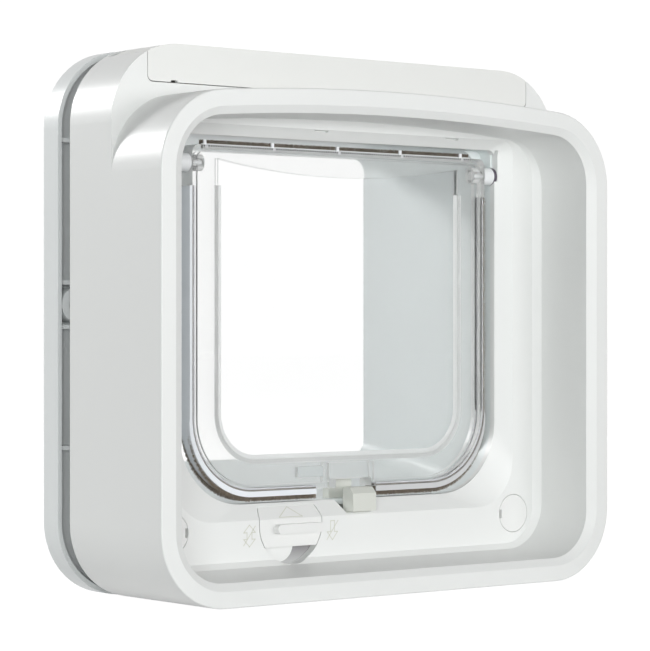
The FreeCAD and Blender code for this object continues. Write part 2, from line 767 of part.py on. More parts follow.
def contact_walls(sketch):
    for near in (cell_start - s.contact_thick - s.cell_gap - s.bay_wall, cell_stop + s.contact_thick):
        far = near + s.bay_wall
        rectangle(sketch, near, far, bay_low + s.bay_floor / 2, s.cover_low)
        rectangle(sketch, -far, -near, bay_low + s.bay_floor / 2, s.cover_low)


def high_towers(sketch):
    both_sides(sketch, s.high_screw_across, s.screw_high, s.tower_radius)


def high_shank_holes(sketch):
    both_sides(sketch, s.high_screw_across, s.screw_high, shank_hole)


cell_start = s.cell_inner
cell_stop = s.cell_inner + s.cell_long + s.nub_long + s.cell_gap
deck_front = (bay_front + plate_front) / 2 - s.deck_half
deck_rear = (bay_front + plate_front) / 2 + s.deck_half
pocket_between(housing, "cover_seat", s.hood_reach, cover_seat_rear, cover_seat)
pocket_between(housing, "cell_well", bay_front, plate_front, cell_well)
pad_between(housing, "button_deck", deck_front, deck_rear, button_deck)
pad_between(housing, "contact_walls", bay_front, plate_front, contact_walls)
pad_between(housing, "high_towers", high_tower_front, plate_front, high_towers)
pocket_between(housing, "high_shank_holes", high_tower_front, body_rear, high_shank_holes)


def button_bore(sketch):
    circle(sketch, zero, row((deck_front + deck_rear) / 2), s.button_radius + s.running_gap)


bore_sketch = housing.newObject("Sketcher::SketchObject", "button_bore_sketch")
bore_sketch.AttachmentSupport = [(origin_plane(housing, "XY_Plane"), "")]
bore_sketch.MapMode = "FlatFace"
bore_sketch.setExpression("AttachmentOffset.Base.z", s.deck_height.text)
button_bore(bore_sketch)
pocket(housing, "button_bore", bore_sketch, s.button_tall + s.button_travel + s.seat_gap)


# Lugs on the rear rail carry the battery cover's hinge pins.

def lug_profile(sketch):
    rectangle(sketch, row(cover_rear - s.barrel_radius), row(cover_seat_rear + s.seat_gap),
              hinge_height - s.barrel_radius, hinge_height + s.barrel_radius)


def pin_hole(sketch):
    circle(sketch, row(cover_rear), hinge_height, s.cover_pin + s.running_gap)


pin_near = s.barrel_near - s.seam_gap - s.lug_long
pin_far = s.barrel_near + s.barrel_long + s.seam_gap + s.lug_long
lug_spans = [(pin_near, pin_near + s.lug_long), (pin_far - s.lug_long, pin_far)]
for index, (near, far) in enumerate(lug_spans):
    grow_across(housing, f"lug_right_{index}", near, far, lug_profile)
    grow_across(housing, f"lug_left_{index}", -far, -near, lug_profile)
cut_across(housing, "pin_holes_right", pin_near, pin_far, pin_hole)
cut_across(housing, "pin_holes_left", -pin_far, -pin_near, pin_hole)


# The plate that closes the housing on the door side, with four posts for the circuit board.

rear_cover = new_body("rear_cover")
board_rear = plate_front - s.board_stand


def plate_outline(sketch):
    frame_outline(sketch, s.shell_wall + s.seam_gap)


def plate_opening(sketch):
    tunnel_outline(sketch, s.tunnel_wall + s.seam_gap)


def board_posts(sketch):
    for across in (s.board_left + s.post_radius, s.board_right - s.post_radius):
        for height in (s.board_low + s.post_radius, s.board_high - s.post_radius):
            circle(sketch, across, height, s.post_radius)


def shank_holes(sketch):
    both_sides(sketch, s.screw_across, s.screw_low, shank_hole)
    both_sides(sketch, s.high_screw_across, s.screw_high, shank_hole)


def hinge_relief(sketch):
    low = hinge_height - s.barrel_radius - s.seat_gap
    rectangle(sketch, -s.cover_half, s.cover_half, low, s.frame_height)


pad_between(rear_cover, "plate", plate_front, body_rear, plate_outline)
pad_between(rear_cover, "board_posts", board_rear, plate_front, board_posts)
pocket_between(rear_cover, "plate_opening", plate_front, body_rear, plate_opening)
pocket_between(rear_cover, "plate_holes", plate_front, body_rear, shank_holes)
pocket_between(rear_cover, "hinge_relief", plate_front, body_rear, hinge_relief)


# The tunnel: a wide mouth round the flap, a seating flange and a floor that ramps up outdoors.

tunnel = new_body("tunnel")
mouth_rear_depth = s.step_depth + s.tunnel_wall
flange_front = plate_front - s.flange_thick


def tunnel_skin(sketch):
    tunnel_outline(sketch, s.tunnel_wall)


def mouth_skin(sketch):
    opening_outline(sketch, s.tunnel_wall)


def flange_outline(sketch):
    reach = tunnel_outer + s.flange_reach
    rounded_box(sketch, reach, tunnel_low - s.flange_reach, tunnel_high,
                s.tunnel_corner + s.tunnel_wall + s.flange_reach, s.tunnel_corner)


def tunnel_raised(sketch):
    tunnel_outline(sketch, zero, s.ramp_rise)


def coil_groove(sketch):
    tunnel_outline(sketch, s.tunnel_wall + s.seat_gap)
    tunnel_outline(sketch, s.tunnel_wall - s.coil_thick)


def rear_latch_slot(sketch):
    rectangle(sketch, latch_slot_left, latch_slot_right, tunnel_low - s.seat_gap, s.mouth_low + s.seat_gap)


def under_ramp(sketch):
    """The wedge left open below the ramp, from where the floor is two walls deep to the rear end."""
    slope = s.ramp_rise.number / (total_depth - s.ramp_start).number
    start = s.ramp_start + s.tunnel_wall / slope + s.tunnel_wall
    high = s.mouth_low + s.ramp_rise - s.tunnel_wall
    polygon(sketch, [(row(start), s.mouth_low), (row(total_depth), s.mouth_low), (row(total_depth), high)])


pad_between(tunnel, "tube", collar_rear, total_depth, tunnel_skin)
pad_between(tunnel, "mouth_tube", collar_rear, mouth_rear_depth, mouth_skin)
pad_between(tunnel, "flange", flange_front, plate_front, flange_outline)
pocket_between(tunnel, "mouth_recess", collar_rear, s.step_depth, opening_outline)
pocket_between(tunnel, "passage", s.step_depth, s.ramp_start, tunnel_outline)
loft_cut_between(tunnel, "ramp", s.ramp_start, total_depth, tunnel_outline, tunnel_raised)
pocket_between(tunnel, "coil_groove", s.coil_depth, s.coil_depth + s.coil_width, coil_groove)
pocket_between(tunnel, "latch_slot", s.rear_blade_depth - s.seat_gap,
               s.rear_blade_depth + s.rear_blade_thick + s.seat_gap, rear_latch_slot)
cut_across(tunnel, "pin_seat_right", pin_seat_near, pin_seat_far, pin_seat_profile)
cut_across(tunnel, "pin_seat_left", -pin_seat_far, -pin_seat_near, pin_seat_profile)
ramp_bay = (s.tunnel_half * 2 - s.tunnel_corner * 2) / s.ramp_ribs.number
first_bay = s.tunnel_corner - s.tunnel_half
bay_cut = cut_across(tunnel, "under_ramp", first_bay, first_bay + ramp_bay - s.rib_thick, under_ramp)
repeat_along(tunnel, "under_ramp_bays", bay_cut, "X_Axis", ramp_bay, int(s.ramp_ribs.number))


# The reader coil is a flat winding in a groove round the tunnel.

coil = new_body("reader_coil")


def coil_ring(sketch):
    tunnel_outline(sketch, s.tunnel_wall)
    tunnel_outline(sketch, s.tunnel_wall - s.coil_thick + s.running_gap)


coil_rear = s.coil_depth + s.coil_width
pad_between(coil, "winding", s.coil_depth + s.running_gap, coil_rear - s.running_gap, coil_ring)


# The flap: a clear panel with a deep rim, a thinner web, a thin pane and a hinge ear at each top corner.

flap = new_body("flap")
flap_rear = s.flap_depth + s.flap_thick / 2
web_front = s.flap_depth - s.web_thick / 2
web_rear = s.flap_depth + s.web_thick / 2
pane_front = s.flap_depth - s.pane_thick / 2
pane_rear = s.flap_depth + s.pane_thick / 2
front_row = s.flap_depth - s.pile_row - s.pile_thick / 2
rear_row = s.flap_depth + s.pile_row - s.pile_thick / 2
top_row = s.flap_depth - s.pile_thick / 2


def flap_outline(sketch, inset=zero):
    rounded_box(sketch, s.flap_half - inset, s.flap_low + inset, s.flap_high - inset,
                s.flap_corner - inset, s.flap_top_corner)


def flap_field(sketch):
    flap_outline(sketch, s.flap_rim)


def pane_outline(sketch):
    """The window: straight sides, round lower corners and a top edge that sags in the middle."""
    first = sketch.GeometryCount
    half, low, high = s.pane_half.number, s.pane_low.number, s.pane_side_high.number
    corner, sag = s.pane_corner.number, s.pane_sag.number
    bow = (half * half + sag * sag) / (2 * sag)
    lean = math.asin(half / bow)
    quarter = math.pi / 2
    sketch.addGeometry([
        line((corner - half, low), (half - corner, low)),
        arc((half - corner, low + corner), corner, -quarter, 0),
        line((half, low + corner), (half, high)),
        arc((0, high - sag + bow), bow, -quarter - lean, lean - quarter),
        line((-half, high), (-half, low + corner)),
        arc((corner - half, low + corner), corner, math.pi, 3 * quarter),
    ])
    floor, low_right, right, crest, left, low_left = range(first, first + 6)
    for here, after in ((floor, low_right), (low_right, right), (left, low_left), (low_left, floor)):
        sketch.addConstraint(Sketcher.Constraint("Tangent", here, 2, after, 1))
    sketch.addConstraint(Sketcher.Constraint("Coincident", right, 2, crest, 2))
    sketch.addConstraint(Sketcher.Constraint("Coincident", left, 1, crest, 1))
    sketch.addConstraint(Sketcher.Constraint("Horizontal", floor))
    sketch.addConstraint(Sketcher.Constraint("Vertical", right))
    sketch.addConstraint(Sketcher.Constraint("Vertical", left))
    drive(sketch, "DistanceX", (right, 1), s.pane_half)
    drive(sketch, "DistanceX", (left, 1), -s.pane_half)
    drive(sketch, "DistanceY", (floor, 1), s.pane_low)
    drive(sketch, "DistanceY", (right, 2), s.pane_side_high)
    drive(sketch, "DistanceY", (left, 1), s.pane_side_high)
    drive(sketch, "Radius", (low_right,), s.pane_corner)
    drive(sketch, "Radius", (low_left,), s.pane_corner)
    drive(sketch, "Radius", (crest,), s.pane_half * (bow / half))


def catch_block(sketch):
    rectangle(sketch, s.catch_left, s.catch_right, s.flap_low, s.catch_high)


def catch_notch(sketch):
    rectangle(sketch, s.latch_left - s.catch_play, s.latch_right + s.catch_play,
              s.flap_low - s.seat_gap, s.catch_low)


def side_band(sketch, side, outer, inner, end):
    """A band down one side, round the lower corner and along the bottom, between two flap outlines.

    outer and inner are (half width, low, corner) and end is where the band stops along the bottom.
    """
    first = sketch.GeometryCount
    outer_half, outer_low, outer_corner = [size.number for size in outer]
    inner_half, inner_low, inner_corner = [size.number for size in inner]
    high, stop = s.pile_high.number, end.number
    quarter = math.pi / 2
    if side > 0:
        outer_arc = arc((outer_half - outer_corner, outer_low + outer_corner), outer_corner, -quarter, 0)
        inner_arc = arc((inner_half - inner_corner, inner_low + inner_corner), inner_corner, -quarter, 0)
    else:
        outer_arc = arc((outer_corner - outer_half, outer_low + outer_corner), outer_corner,
                        math.pi, 3 * quarter)
        inner_arc = arc((inner_corner - inner_half, inner_low + inner_corner), inner_corner,
                        math.pi, 3 * quarter)
    low_end, side_end = (1, 2) if side > 0 else (2, 1)
    sketch.addGeometry([
        line((side * outer_half, high), (side * outer_half, outer_low + outer_corner)),
        outer_arc,
        line((side * (outer_half - outer_corner), outer_low), (stop, outer_low)),
        line((stop, outer_low), (stop, inner_low)),
        line((stop, inner_low), (side * (inner_half - inner_corner), inner_low)),
        inner_arc,
        line((side * inner_half, inner_low + inner_corner), (side * inner_half, high)),
        line((side * inner_half, high), (side * outer_half, high)),
    ])
    out_side, out_arc, out_low, stop_line, in_low, in_arc, in_side, cap = range(first, first + 8)
    sketch.addConstraint(Sketcher.Constraint("Tangent", out_side, 2, out_arc, side_end))
    sketch.addConstraint(Sketcher.Constraint("Tangent", out_arc, low_end, out_low, 1))
    sketch.addConstraint(Sketcher.Constraint("Coincident", out_low, 2, stop_line, 1))
    sketch.addConstraint(Sketcher.Constraint("Coincident", stop_line, 2, in_low, 1))
    sketch.addConstraint(Sketcher.Constraint("Tangent", in_low, 2, in_arc, low_end))
    sketch.addConstraint(Sketcher.Constraint("Tangent", in_arc, side_end, in_side, 1))
    sketch.addConstraint(Sketcher.Constraint("Coincident", in_side, 2, cap, 1))
    sketch.addConstraint(Sketcher.Constraint("Coincident", cap, 2, out_side, 1))
    for upright in (out_side, stop_line, in_side):
        sketch.addConstraint(Sketcher.Constraint("Vertical", upright))
    for level in (out_low, in_low, cap):
        sketch.addConstraint(Sketcher.Constraint("Horizontal", level))
    drive(sketch, "DistanceX", (out_side, 1), outer[0] * side)
    drive(sketch, "DistanceX", (in_side, 1), inner[0] * side)
    drive(sketch, "DistanceX", (stop_line, 1), end)
    drive(sketch, "DistanceY", (out_low, 1), outer[1])
    drive(sketch, "DistanceY", (in_low, 1), inner[1])
    drive(sketch, "DistanceY", (cap, 1), s.pile_high)
    drive(sketch, "Radius", (out_arc,), outer[2])
    drive(sketch, "Radius", (in_arc,), inner[2])


pile_root = (s.flap_half - s.pile_seat, s.flap_low + s.pile_seat, s.flap_corner - s.pile_seat)
pile_past = (s.flap_half + s.seat_gap, s.flap_low - s.seat_gap, s.flap_corner + s.seat_gap)
pile_foot = (pile_root[0] + s.running_gap, pile_root[1] - s.running_gap, pile_root[2] + s.running_gap)
pile_tip = (s.flap_half + s.pile_side_tip, s.flap_low - s.pile_low_tip, s.flap_corner + s.pile_side_tip)


def pile_grooves(sketch):
    side_band(sketch, 1, pile_past, pile_root, s.pile_gap_right)
    side_band(sketch, -1, pile_past, pile_root, s.pile_gap_left)


def top_groove(sketch):
    rectangle(sketch, -s.pile_top_half, s.pile_top_half, s.flap_high - s.pile_seat, s.flap_high + s.seat_gap)


def ear_profile(sketch):
    circle(sketch, row(s.flap_depth), s.axis_height, s.flap_thick / 2)


def journal_bore(sketch):
    circle(sketch, row(s.flap_depth), s.axis_height, s.journal_radius + s.running_gap)


def magnet_pocket(sketch):
    low = s.flap_low + s.flap_rim + s.magnet_seat
    rectangle(sketch, s.magnet_left, s.magnet_left + s.magnet_wide, low, low + s.magnet_tall)


ear_inner = s.flap_half - s.journal_reach - s.seat_gap
pad_between(flap, "panel", flap_front, flap_rear, flap_outline)
pocket_between(flap, "front_field", flap_front, web_front, flap_field)
pocket_between(flap, "rear_field", web_rear, flap_rear, flap_field)
pocket_between(flap, "front_pane", web_front, pane_front, pane_outline)
pocket_between(flap, "rear_pane", pane_rear, web_rear, pane_outline)
pad_between(flap, "catch_block", flap_front, flap_rear, catch_block)
pocket_between(flap, "catch_notch", flap_front, flap_rear, catch_notch)
pocket_between(flap, "front_grooves", front_row, front_row + s.pile_thick, pile_grooves)
pocket_between(flap, "rear_grooves", rear_row, rear_row + s.pile_thick, pile_grooves)
pocket_between(flap, "top_groove", top_row, top_row + s.pile_thick, top_groove)
pocket_between(flap, "magnet_pocket", web_front, web_front + s.magnet_thick + s.running_gap, magnet_pocket)
grow_across(flap, "ear_right", ear_inner, s.flap_half, ear_profile)
grow_across(flap, "ear_left", -s.flap_half, -ear_inner, ear_profile)
cut_across(flap, "bore_right", ear_inner, s.flap_half + s.seat_gap, journal_bore)
cut_across(flap, "bore_left", -s.flap_half - s.seat_gap, -ear_inner, journal_bore)

magnet_low = s.flap_low + s.flap_rim + s.magnet_seat
magnet_right = s.magnet_left + s.magnet_wide
flap_magnet = block("flap_magnet", s.magnet_left + s.running_gap, magnet_right - s.running_gap,
                    web_front, web_front + s.magnet_thick, magnet_low + s.running_gap,
                    magnet_low + s.magnet_tall - s.running_gap)
sill_magnet = block("sill_magnet", s.magnet_left, magnet_right, collar_rear + s.seam_gap,
                    s.step_depth, tunnel_low - s.magnet_tall, tunnel_low)


# Brush pile strips in the flap's grooves: one front and one rear row on each side, and one on top.

def pile_strip(label, row_front, side, end):
    strip = new_body(label)

    def band(sketch):
        side_band(sketch, side, pile_tip, pile_foot, end)

    row_rear = row_front + s.pile_thick
    pad_between(strip, label + "_band", row_front + s.running_gap, row_rear - s.running_gap, band)
    return strip


piles = [
    pile_strip("pile_front_left", front_row, -1, s.pile_gap_left),
    pile_strip("pile_front_right", front_row, 1, s.pile_gap_right),
    pile_strip("pile_rear_left", rear_row, -1, s.pile_gap_left),
    pile_strip("pile_rear_right", rear_row, 1, s.pile_gap_right),
]
pile_top = block("pile_top", -s.pile_top_half, s.pile_top_half,
                 top_row + s.running_gap, top_row + s.pile_thick - s.running_gap,
                 s.flap_high - s.pile_seat, s.flap_high + s.pile_top_tip)


# Stepped hinge pins: the head sits in the tunnel's wall, the journal runs in the flap's ear.

def hinge_pin(label, side):
    head_near = s.flap_half + s.seat_gap
    head_far = s.mouth_half + s.pin_seat
    journal_end = s.flap_half - s.journal_reach
    spans = [(s.pin_head_radius, head_near, head_far), (s.journal_radius, journal_end, head_near)]
    rods = []
    for index, (radius, near, far) in enumerate(spans):
        left, right = (near, far) if side > 0 else (-far, -near)
        rods.append(rod_across(f"{label}_{index}", radius, left, right, s.flap_depth, s.axis_height))
    return fused(label, rods)


hinge_pins = [hinge_pin("hinge_pin_left", -1), hinge_pin("hinge_pin_right", 1)]


# The latches rise from below to hold the flap, one in front of it and one behind.

front_leg_rear = s.front_leg_depth + s.blade_thick
foot_top = foot_low + s.foot_thick
rear_blade_low = foot_top + s.latch_travel + s.seat_gap
rear_blade_rear = s.rear_blade_depth + s.rear_blade_thick
foot_rear = s.cam_depth + s.cam_small

front_latch = new_body("front_latch")
rear_latch = new_body("rear_latch")


def front_blade(sketch):
    polygon(sketch, [
        (row(s.front_leg_depth), foot_low), (row(front_leg_rear), foot_low),
        (row(front_leg_rear), s.front_top), (row(s.front_blade_depth + s.hook_chamfer), s.front_top),
        (row(s.front_blade_depth), s.front_top - s.hook_chamfer), (row(s.front_blade_depth), s.hook_low),
        (row(s.front_leg_depth), s.hook_low),
    ])


def front_foot(sketch):
    rectangle(sketch, row(s.front_leg_depth), row(foot_rear), foot_low, foot_top)


def rear_blade(sketch):
    polygon(sketch, [
        (row(s.rear_blade_depth), rear_blade_low), (row(rear_blade_rear), rear_blade_low),
        (row(rear_blade_rear), s.rear_top - s.hook_chamfer / 2),
        (row(rear_blade_rear) - s.hook_chamfer / 2, s.rear_top), (row(s.rear_blade_depth), s.rear_top),
    ])


def rear_leg(sketch):
    rectangle(sketch, row(s.rear_blade_depth), row(rear_blade_rear), foot_low, rear_blade_low)


grow_across(front_latch, "front_blade", s.latch_left, s.latch_right, front_blade)
grow_across(front_latch, "front_foot", s.foot_left, s.latch_right, front_foot)
grow_across(rear_latch, "rear_blade", s.latch_left, s.latch_right, rear_blade)
grow_across(rear_latch, "rear_leg", s.latch_left, s.leg_right, rear_leg)


# Snail cams: the rim climbs evenly round the turn, so the latch rises in step with the cam.

def snail_cam(label, left, shaft_left, shaft_right):
    small, rise = s.cam_small.number, s.latch_travel.number
    turn = math.radians(s.cam_turn.number)
    middle_y, middle_z = row(s.cam_depth).number, s.cam_height.number
    steps = 16
    rim = []
    for step in range(steps + 1):
        angle = math.pi / 2 - turn * step / steps
        radius = small + rise * step / steps
        rim.append(FreeCAD.Vector(left.number, middle_y + radius * math.cos(angle),
                                  middle_z + radius * math.sin(angle)))
    climb = Part.BSplineCurve()
    climb.interpolate(rim)
    past = math.pi / 2 - turn
    heel = FreeCAD.Vector(left.number, middle_y + small * math.cos(past), middle_z + small * math.sin(past))
    between = math.pi / 2 + (2 * math.pi - turn) / 2
    back = FreeCAD.Vector(left.number, middle_y + small * math.cos(between),
                          middle_z + small * math.sin(between))
    edges = [climb.toShape(), Part.makeLine(rim[-1], heel), Part.Arc(heel, back, rim[0]).toShape()]
    plate = Part.Face(Part.Wire(edges)).extrude(FreeCAD.Vector(s.cam_wide.number, 0, 0))
    axle = Part.makeCylinder(s.cam_shaft.number, (shaft_right - shaft_left).number,
                             FreeCAD.Vector(shaft_left.number, middle_y, middle_z), FreeCAD.Vector(1, 0, 0))
    cam = doc.addObject("Part::Feature", label)
    cam.Label = label
    cam.Shape = plate.fuse(axle).removeSplitter()
    return cam


def gear_motor(label, left, shaft_at_left):
    """A flat-sided gear motor: a square gearbox at the shaft end and a round can cut to two flats."""
    right = left + s.motor_long
    if shaft_at_left:
        box_left, box_right, can_left, can_right = left, left + s.gearbox_long, left + s.gearbox_long, right
        bore_left, bore_right = left, left + s.cam_shaft_reach + s.seat_gap
    else:
        box_left, box_right, can_left, can_right = right - s.gearbox_long, right, left, right - s.gearbox_long
        bore_left, bore_right = right - s.cam_shaft_reach - s.seat_gap, right
    low, high = s.cam_height - s.motor_tall / 2, s.cam_height + s.motor_tall / 2
    gearbox = block(label + "_gearbox", box_left, box_right, motor_front, motor_rear, low, high)
    can = rod_across(label + "_can", s.motor_tall / 2, can_left, can_right, s.cam_depth, s.cam_height)
    flats = block(label + "_flats", can_left, can_right, motor_front, motor_rear, low, high)
    flat_can = doc.addObject("Part::Common", label + "_flat_can")
    flat_can.Base = can
    flat_can.Tool = flats
    bore = rod_across(label + "_bore", s.cam_shaft + s.running_gap, bore_left, bore_right,
                      s.cam_depth, s.cam_height)
    motor = doc.addObject("Part::Cut", label)
    motor.Label = label
    motor.Base = fused(label + "_housing", [gearbox, flat_can])
    motor.Tool = bore
    return motor


front_cam_right = s.latch_right
front_cam_left = front_cam_right - s.cam_wide
rear_cam_left = s.latch_left
rear_cam_right = rear_cam_left + s.cam_wide
cams = [
    snail_cam("latch_cam_front", front_cam_left, front_cam_left,
              motor_right_start + s.cam_shaft_reach),
    snail_cam("latch_cam_rear", rear_cam_left, motor_left_end + s.motor_long - s.cam_shaft_reach,
              rear_cam_right),
]
motors = [
    gear_motor("latch_motor_front", motor_right_start, True),
    gear_motor("latch_motor_rear", motor_left_end, False),
]


# The lock knob: a disc with two flats, a finger ridge, and a shaft held by a spring clip.

knob = new_body("lock_knob")
knob_back = s.fascia_depth + s.knob_thick
clip_front = knob_boss_rear + s.seam_gap
clip_rear = clip_front + s.clip_thick
shaft_rear = clip_rear + s.knob_shaft_end
ridge_front = s.fascia_depth - s.ridge_out
ridge_end = s.knob_across - s.ridge_left + s.ridge_tall / 2
ridge_middle = s.knob_height - s.ridge_drop
axle_front = s.fascia_depth + s.knob_thick / 2


def knob_disc(sketch):
    """A circle with its top and bottom cut off flat."""
    first = sketch.GeometryCount
    radius, flat = s.knob_radius.number, s.knob_flat.number
    across, height = s.knob_across.number, s.knob_height.number
    lean = math.asin(flat / radius)
    half = radius * math.cos(lean)
    sketch.addGeometry([
        arc((across, height), radius, -lean, lean),
        line((across + half, height + flat), (across - half, height + flat)),
        arc((across, height), radius, math.pi - lean, math.pi + lean),
        line((across - half, height - flat), (across + half, height - flat)),
    ])
    ring = list(range(first, first + 4))
    for here, after in zip(ring, ring[1:] + ring[:1]):
        sketch.addConstraint(Sketcher.Constraint("Coincident", here, 2, after, 1))
    right, top, left, bottom = ring
    sketch.addConstraint(Sketcher.Constraint("Horizontal", top))
    sketch.addConstraint(Sketcher.Constraint("Horizontal", bottom))
    sketch.addConstraint(Sketcher.Constraint("Coincident", right, 3, left, 3))
    drive(sketch, "Radius", (right,), s.knob_radius)
    drive(sketch, "DistanceX", (right, 3), s.knob_across)
    drive(sketch, "DistanceY", (right, 3), s.knob_height)
    drive(sketch, "DistanceY", (top, 1), s.knob_height + s.knob_flat)
    drive(sketch, "DistanceY", (bottom, 1), s.knob_height - s.knob_flat)


def knob_ridge(sketch):
    rectangle(sketch, ridge_end, s.knob_across + s.ridge_right,
              ridge_middle - s.ridge_tall / 2, ridge_middle + s.ridge_tall / 2)


def ridge_nose(sketch):
    circle(sketch, ridge_end, ridge_middle, s.ridge_tall / 2)


def knob_slope(sketch):
    """What stands out past the fascia's slope above the fold."""
    polygon(sketch, [(row(s.fascia_depth), s.fold_low), (row(slope_rear), s.mouth_low),
                     (row(slope_rear), s.knob_height + s.knob_radius),
                     (row(s.fascia_depth), s.knob_height + s.knob_radius)])


def knob_axle(sketch):
    circle(sketch, s.knob_across, s.knob_height, s.knob_shaft)


def knob_neck(sketch):
    circle(sketch, s.knob_across, s.knob_height, s.knob_shaft - s.clip_groove)


pad_between(knob, "disc", s.fascia_depth, knob_back, knob_disc)
cut_across(knob, "slope_facet", s.knob_across - s.knob_radius, s.knob_across + s.knob_radius, knob_slope)
pad_between(knob, "ridge", ridge_front, axle_front, knob_ridge)
pad_between(knob, "ridge_nose", ridge_front, axle_front, ridge_nose)
pad_between(knob, "axle", axle_front, clip_front, knob_axle)
pad_between(knob, "neck", clip_front, clip_rear, knob_neck)
pad_between(knob, "axle_end", clip_rear, shaft_rear, knob_axle)

clip = new_body("knob_clip")


def clip_ring(sketch):
    circle(sketch, s.knob_across, s.knob_height, s.knob_shaft + s.clip_reach)
    circle(sketch, s.knob_across, s.knob_height, s.knob_shaft - s.clip_groove + s.running_gap)


pad_between(clip, "ring", clip_front + s.running_gap, clip_rear - s.running_gap, clip_ring)


# Round caps over the lower screws, each with a pry notch on the side towards the middle.

def screw_cap(label, side):
    cap = new_body(label)
    across = s.screw_across * side

    def disc(sketch):
        circle(sketch, across, s.screw_low, s.cap_radius)

    def notch(sketch):
        near = across - s.cap_radius * side
        far = near + s.notch_deep * side
        left, right = (near - s.seat_gap, far) if side > 0 else (far, near + s.seat_gap)
        rectangle(sketch, left, right, s.screw_low - s.notch_wide / 2, s.screw_low + s.notch_wide / 2)

    pad_between(cap, label + "_disc", s.fascia_depth, cap_floor, disc)
    pocket_between(cap, label + "_notch", s.fascia_depth, cap_floor, notch)
    return cap


caps = [screw_cap("screw_cap_left", -1), screw_cap("screw_cap_right", 1)]


# Four long screws clamp the housing and the exterior frame to the door.

def fixing_screw(label, across, height, shelf):
    head = rod_rearwards(label + "_head", s.head_radius, across, shelf - s.head_tall, shelf, height)
    shank = rod_rearwards(label + "_shank", s.shank_radius, across, shelf, outer_rear - s.outer_face, height)
    return fused(label, [head, shank])


screws = grouped("fixing_screws", [
    fixing_screw("screw_low_left", -s.screw_across, s.screw_low, low_shelf),
    fixing_screw("screw_low_right", s.screw_across, s.screw_low, low_shelf),
    fixing_screw("screw_high_left", -s.high_screw_across, s.screw_high, high_tower_front),
    fixing_screw("screw_high_right", s.high_screw_across, s.screw_high, high_tower_front),
])


# The battery cover hooks over the top of the body and hinges at its rear edge.

cover = new_body("battery_cover")
cover_plate_rear = cover_rear - s.hinge_clear
cover_outer = s.cover_half - s.cover_gap


def cover_skin(sketch):
    crown_box(sketch, cover_outer, s.cover_low + s.cover_gap)


def cover_hollow(sketch):
    crown_box(sketch, cover_outer - s.cover_wall, s.cover_low - s.seat_gap, s.cover_wall)


def pry_slots(sketch):
    low = s.cover_low + s.cover_gap
    half = s.pry_wide / 2
    for across in (-s.pry_across, s.pry_across):
        rectangle(sketch, across - half, across + half, low - s.seat_gap, low + s.pry_tall)


def barrel_profile(sketch):
    circle(sketch, row(cover_rear), hinge_height, s.barrel_radius)


def arm_profile(sketch):
    rectangle(sketch, row(cover_plate_rear - s.cover_wall), row(cover_rear),
              s.frame_height - s.cover_wall, hinge_height + s.barrel_radius)


pad_between(cover, "cover_skin", s.hood_reach, cover_plate_rear, cover_skin)
pocket_between(cover, "cover_hollow", s.hood_reach + s.cover_wall, cover_plate_rear, cover_hollow)
pocket_between(cover, "pry_slots", s.hood_reach, s.hood_reach + s.cover_wall, pry_slots)
barrel_far = s.barrel_near + s.barrel_long
for name, left, right in (("right", s.barrel_near, barrel_far), ("left", -barrel_far, -s.barrel_near)):
    grow_across(cover, "arm_" + name, left, right, arm_profile)
    grow_across(cover, "barrel_" + name, left, right, barrel_profile)
    cut_across(cover, "barrel_bore_" + name, left, right, pin_hole)

cover_pins = [
    rod_across("cover_pin_left", s.cover_pin, -pin_far, -pin_near, cover_rear, hinge_height),
    rod_across("cover_pin_right", s.cover_pin, pin_near, pin_far, cover_rear, hinge_height),
]


# Four cells lie in the bay, two on each side, the rear one above the front one.

low_cell_depth = bay_front + s.cell_gap + s.cell_radius
high_cell_depth = plate_front - s.cell_gap - s.cell_radius
low_cell_height = bay_floor_top + s.cell_gap / 2 + s.cell_radius
cell_apart = s.cell_radius * 2 + s.cell_gap
cell_climb = math.sqrt(cell_apart.number ** 2 - (high_cell_depth - low_cell_depth).number ** 2)
high_cell_height = low_cell_height + cell_climb


def cell(label, left, depth, height, nub_at_right):
    right = left + s.cell_long
    nub_left, nub_right = (right, right + s.nub_long) if nub_at_right else (left - s.nub_long, left)
    can = rod_across(label + "_can", s.cell_radius, left, right, depth, height)
    nub = rod_across(label + "_nub", s.nub_radius, nub_left, nub_right, depth, height)
    return fused(label, [can, nub])


right_start = s.cell_inner
left_start = -right_start - s.cell_long
cells = [
    cell("battery_1", left_start, low_cell_depth, low_cell_height, False),
    cell("battery_2", left_start, high_cell_depth, high_cell_height, False),
    cell("battery_3", right_start, low_cell_depth, low_cell_height, True),
    cell("battery_4", right_start, high_cell_depth, high_cell_height, True),
]


def contact_leaf(label, left):
    return block(label, left, left + s.contact_thick, bay_front + s.cell_gap, plate_front - s.cell_gap,
                 bay_floor_top, high_cell_height + s.cell_radius / 2)


inner_leaf = cell_start - s.contact_thick - s.cell_gap
contacts = grouped("battery_contacts", [
    contact_leaf("leaf_inner_right", inner_leaf), contact_leaf("leaf_outer_right", cell_stop),
    contact_leaf("leaf_inner_left", -inner_leaf - s.contact_thick),
    contact_leaf("leaf_outer_left", -cell_stop - s.contact_thick),
])

button = doc.addObject("Part::Cylinder", "learn_button")
button.Label = "learn_button"
button.setExpression("Radius", s.button_radius.text)
button.setExpression("Height", (s.button_tall + s.button_travel).text)
place(button, zero, (deck_front + deck_rear) / 2, s.deck_height - s.button_tall + s.button_travel)

board = block("control_board", s.board_left, s.board_right, board_rear - s.board_thick, board_rear,
              s.board_low, s.board_high)


# The frame on the outdoor side: a thin shell, open towards the door, with ribs and screw bosses.

outer = new_body("exterior_frame")


def outer_opening(sketch):
    tunnel_outline(sketch, s.tunnel_wall + s.seat_gap)


def outer_hollow(sketch):
    frame_outline(sketch, s.outer_wall)
    tunnel_outline(sketch, s.tunnel_wall + s.seat_gap + s.outer_collar)


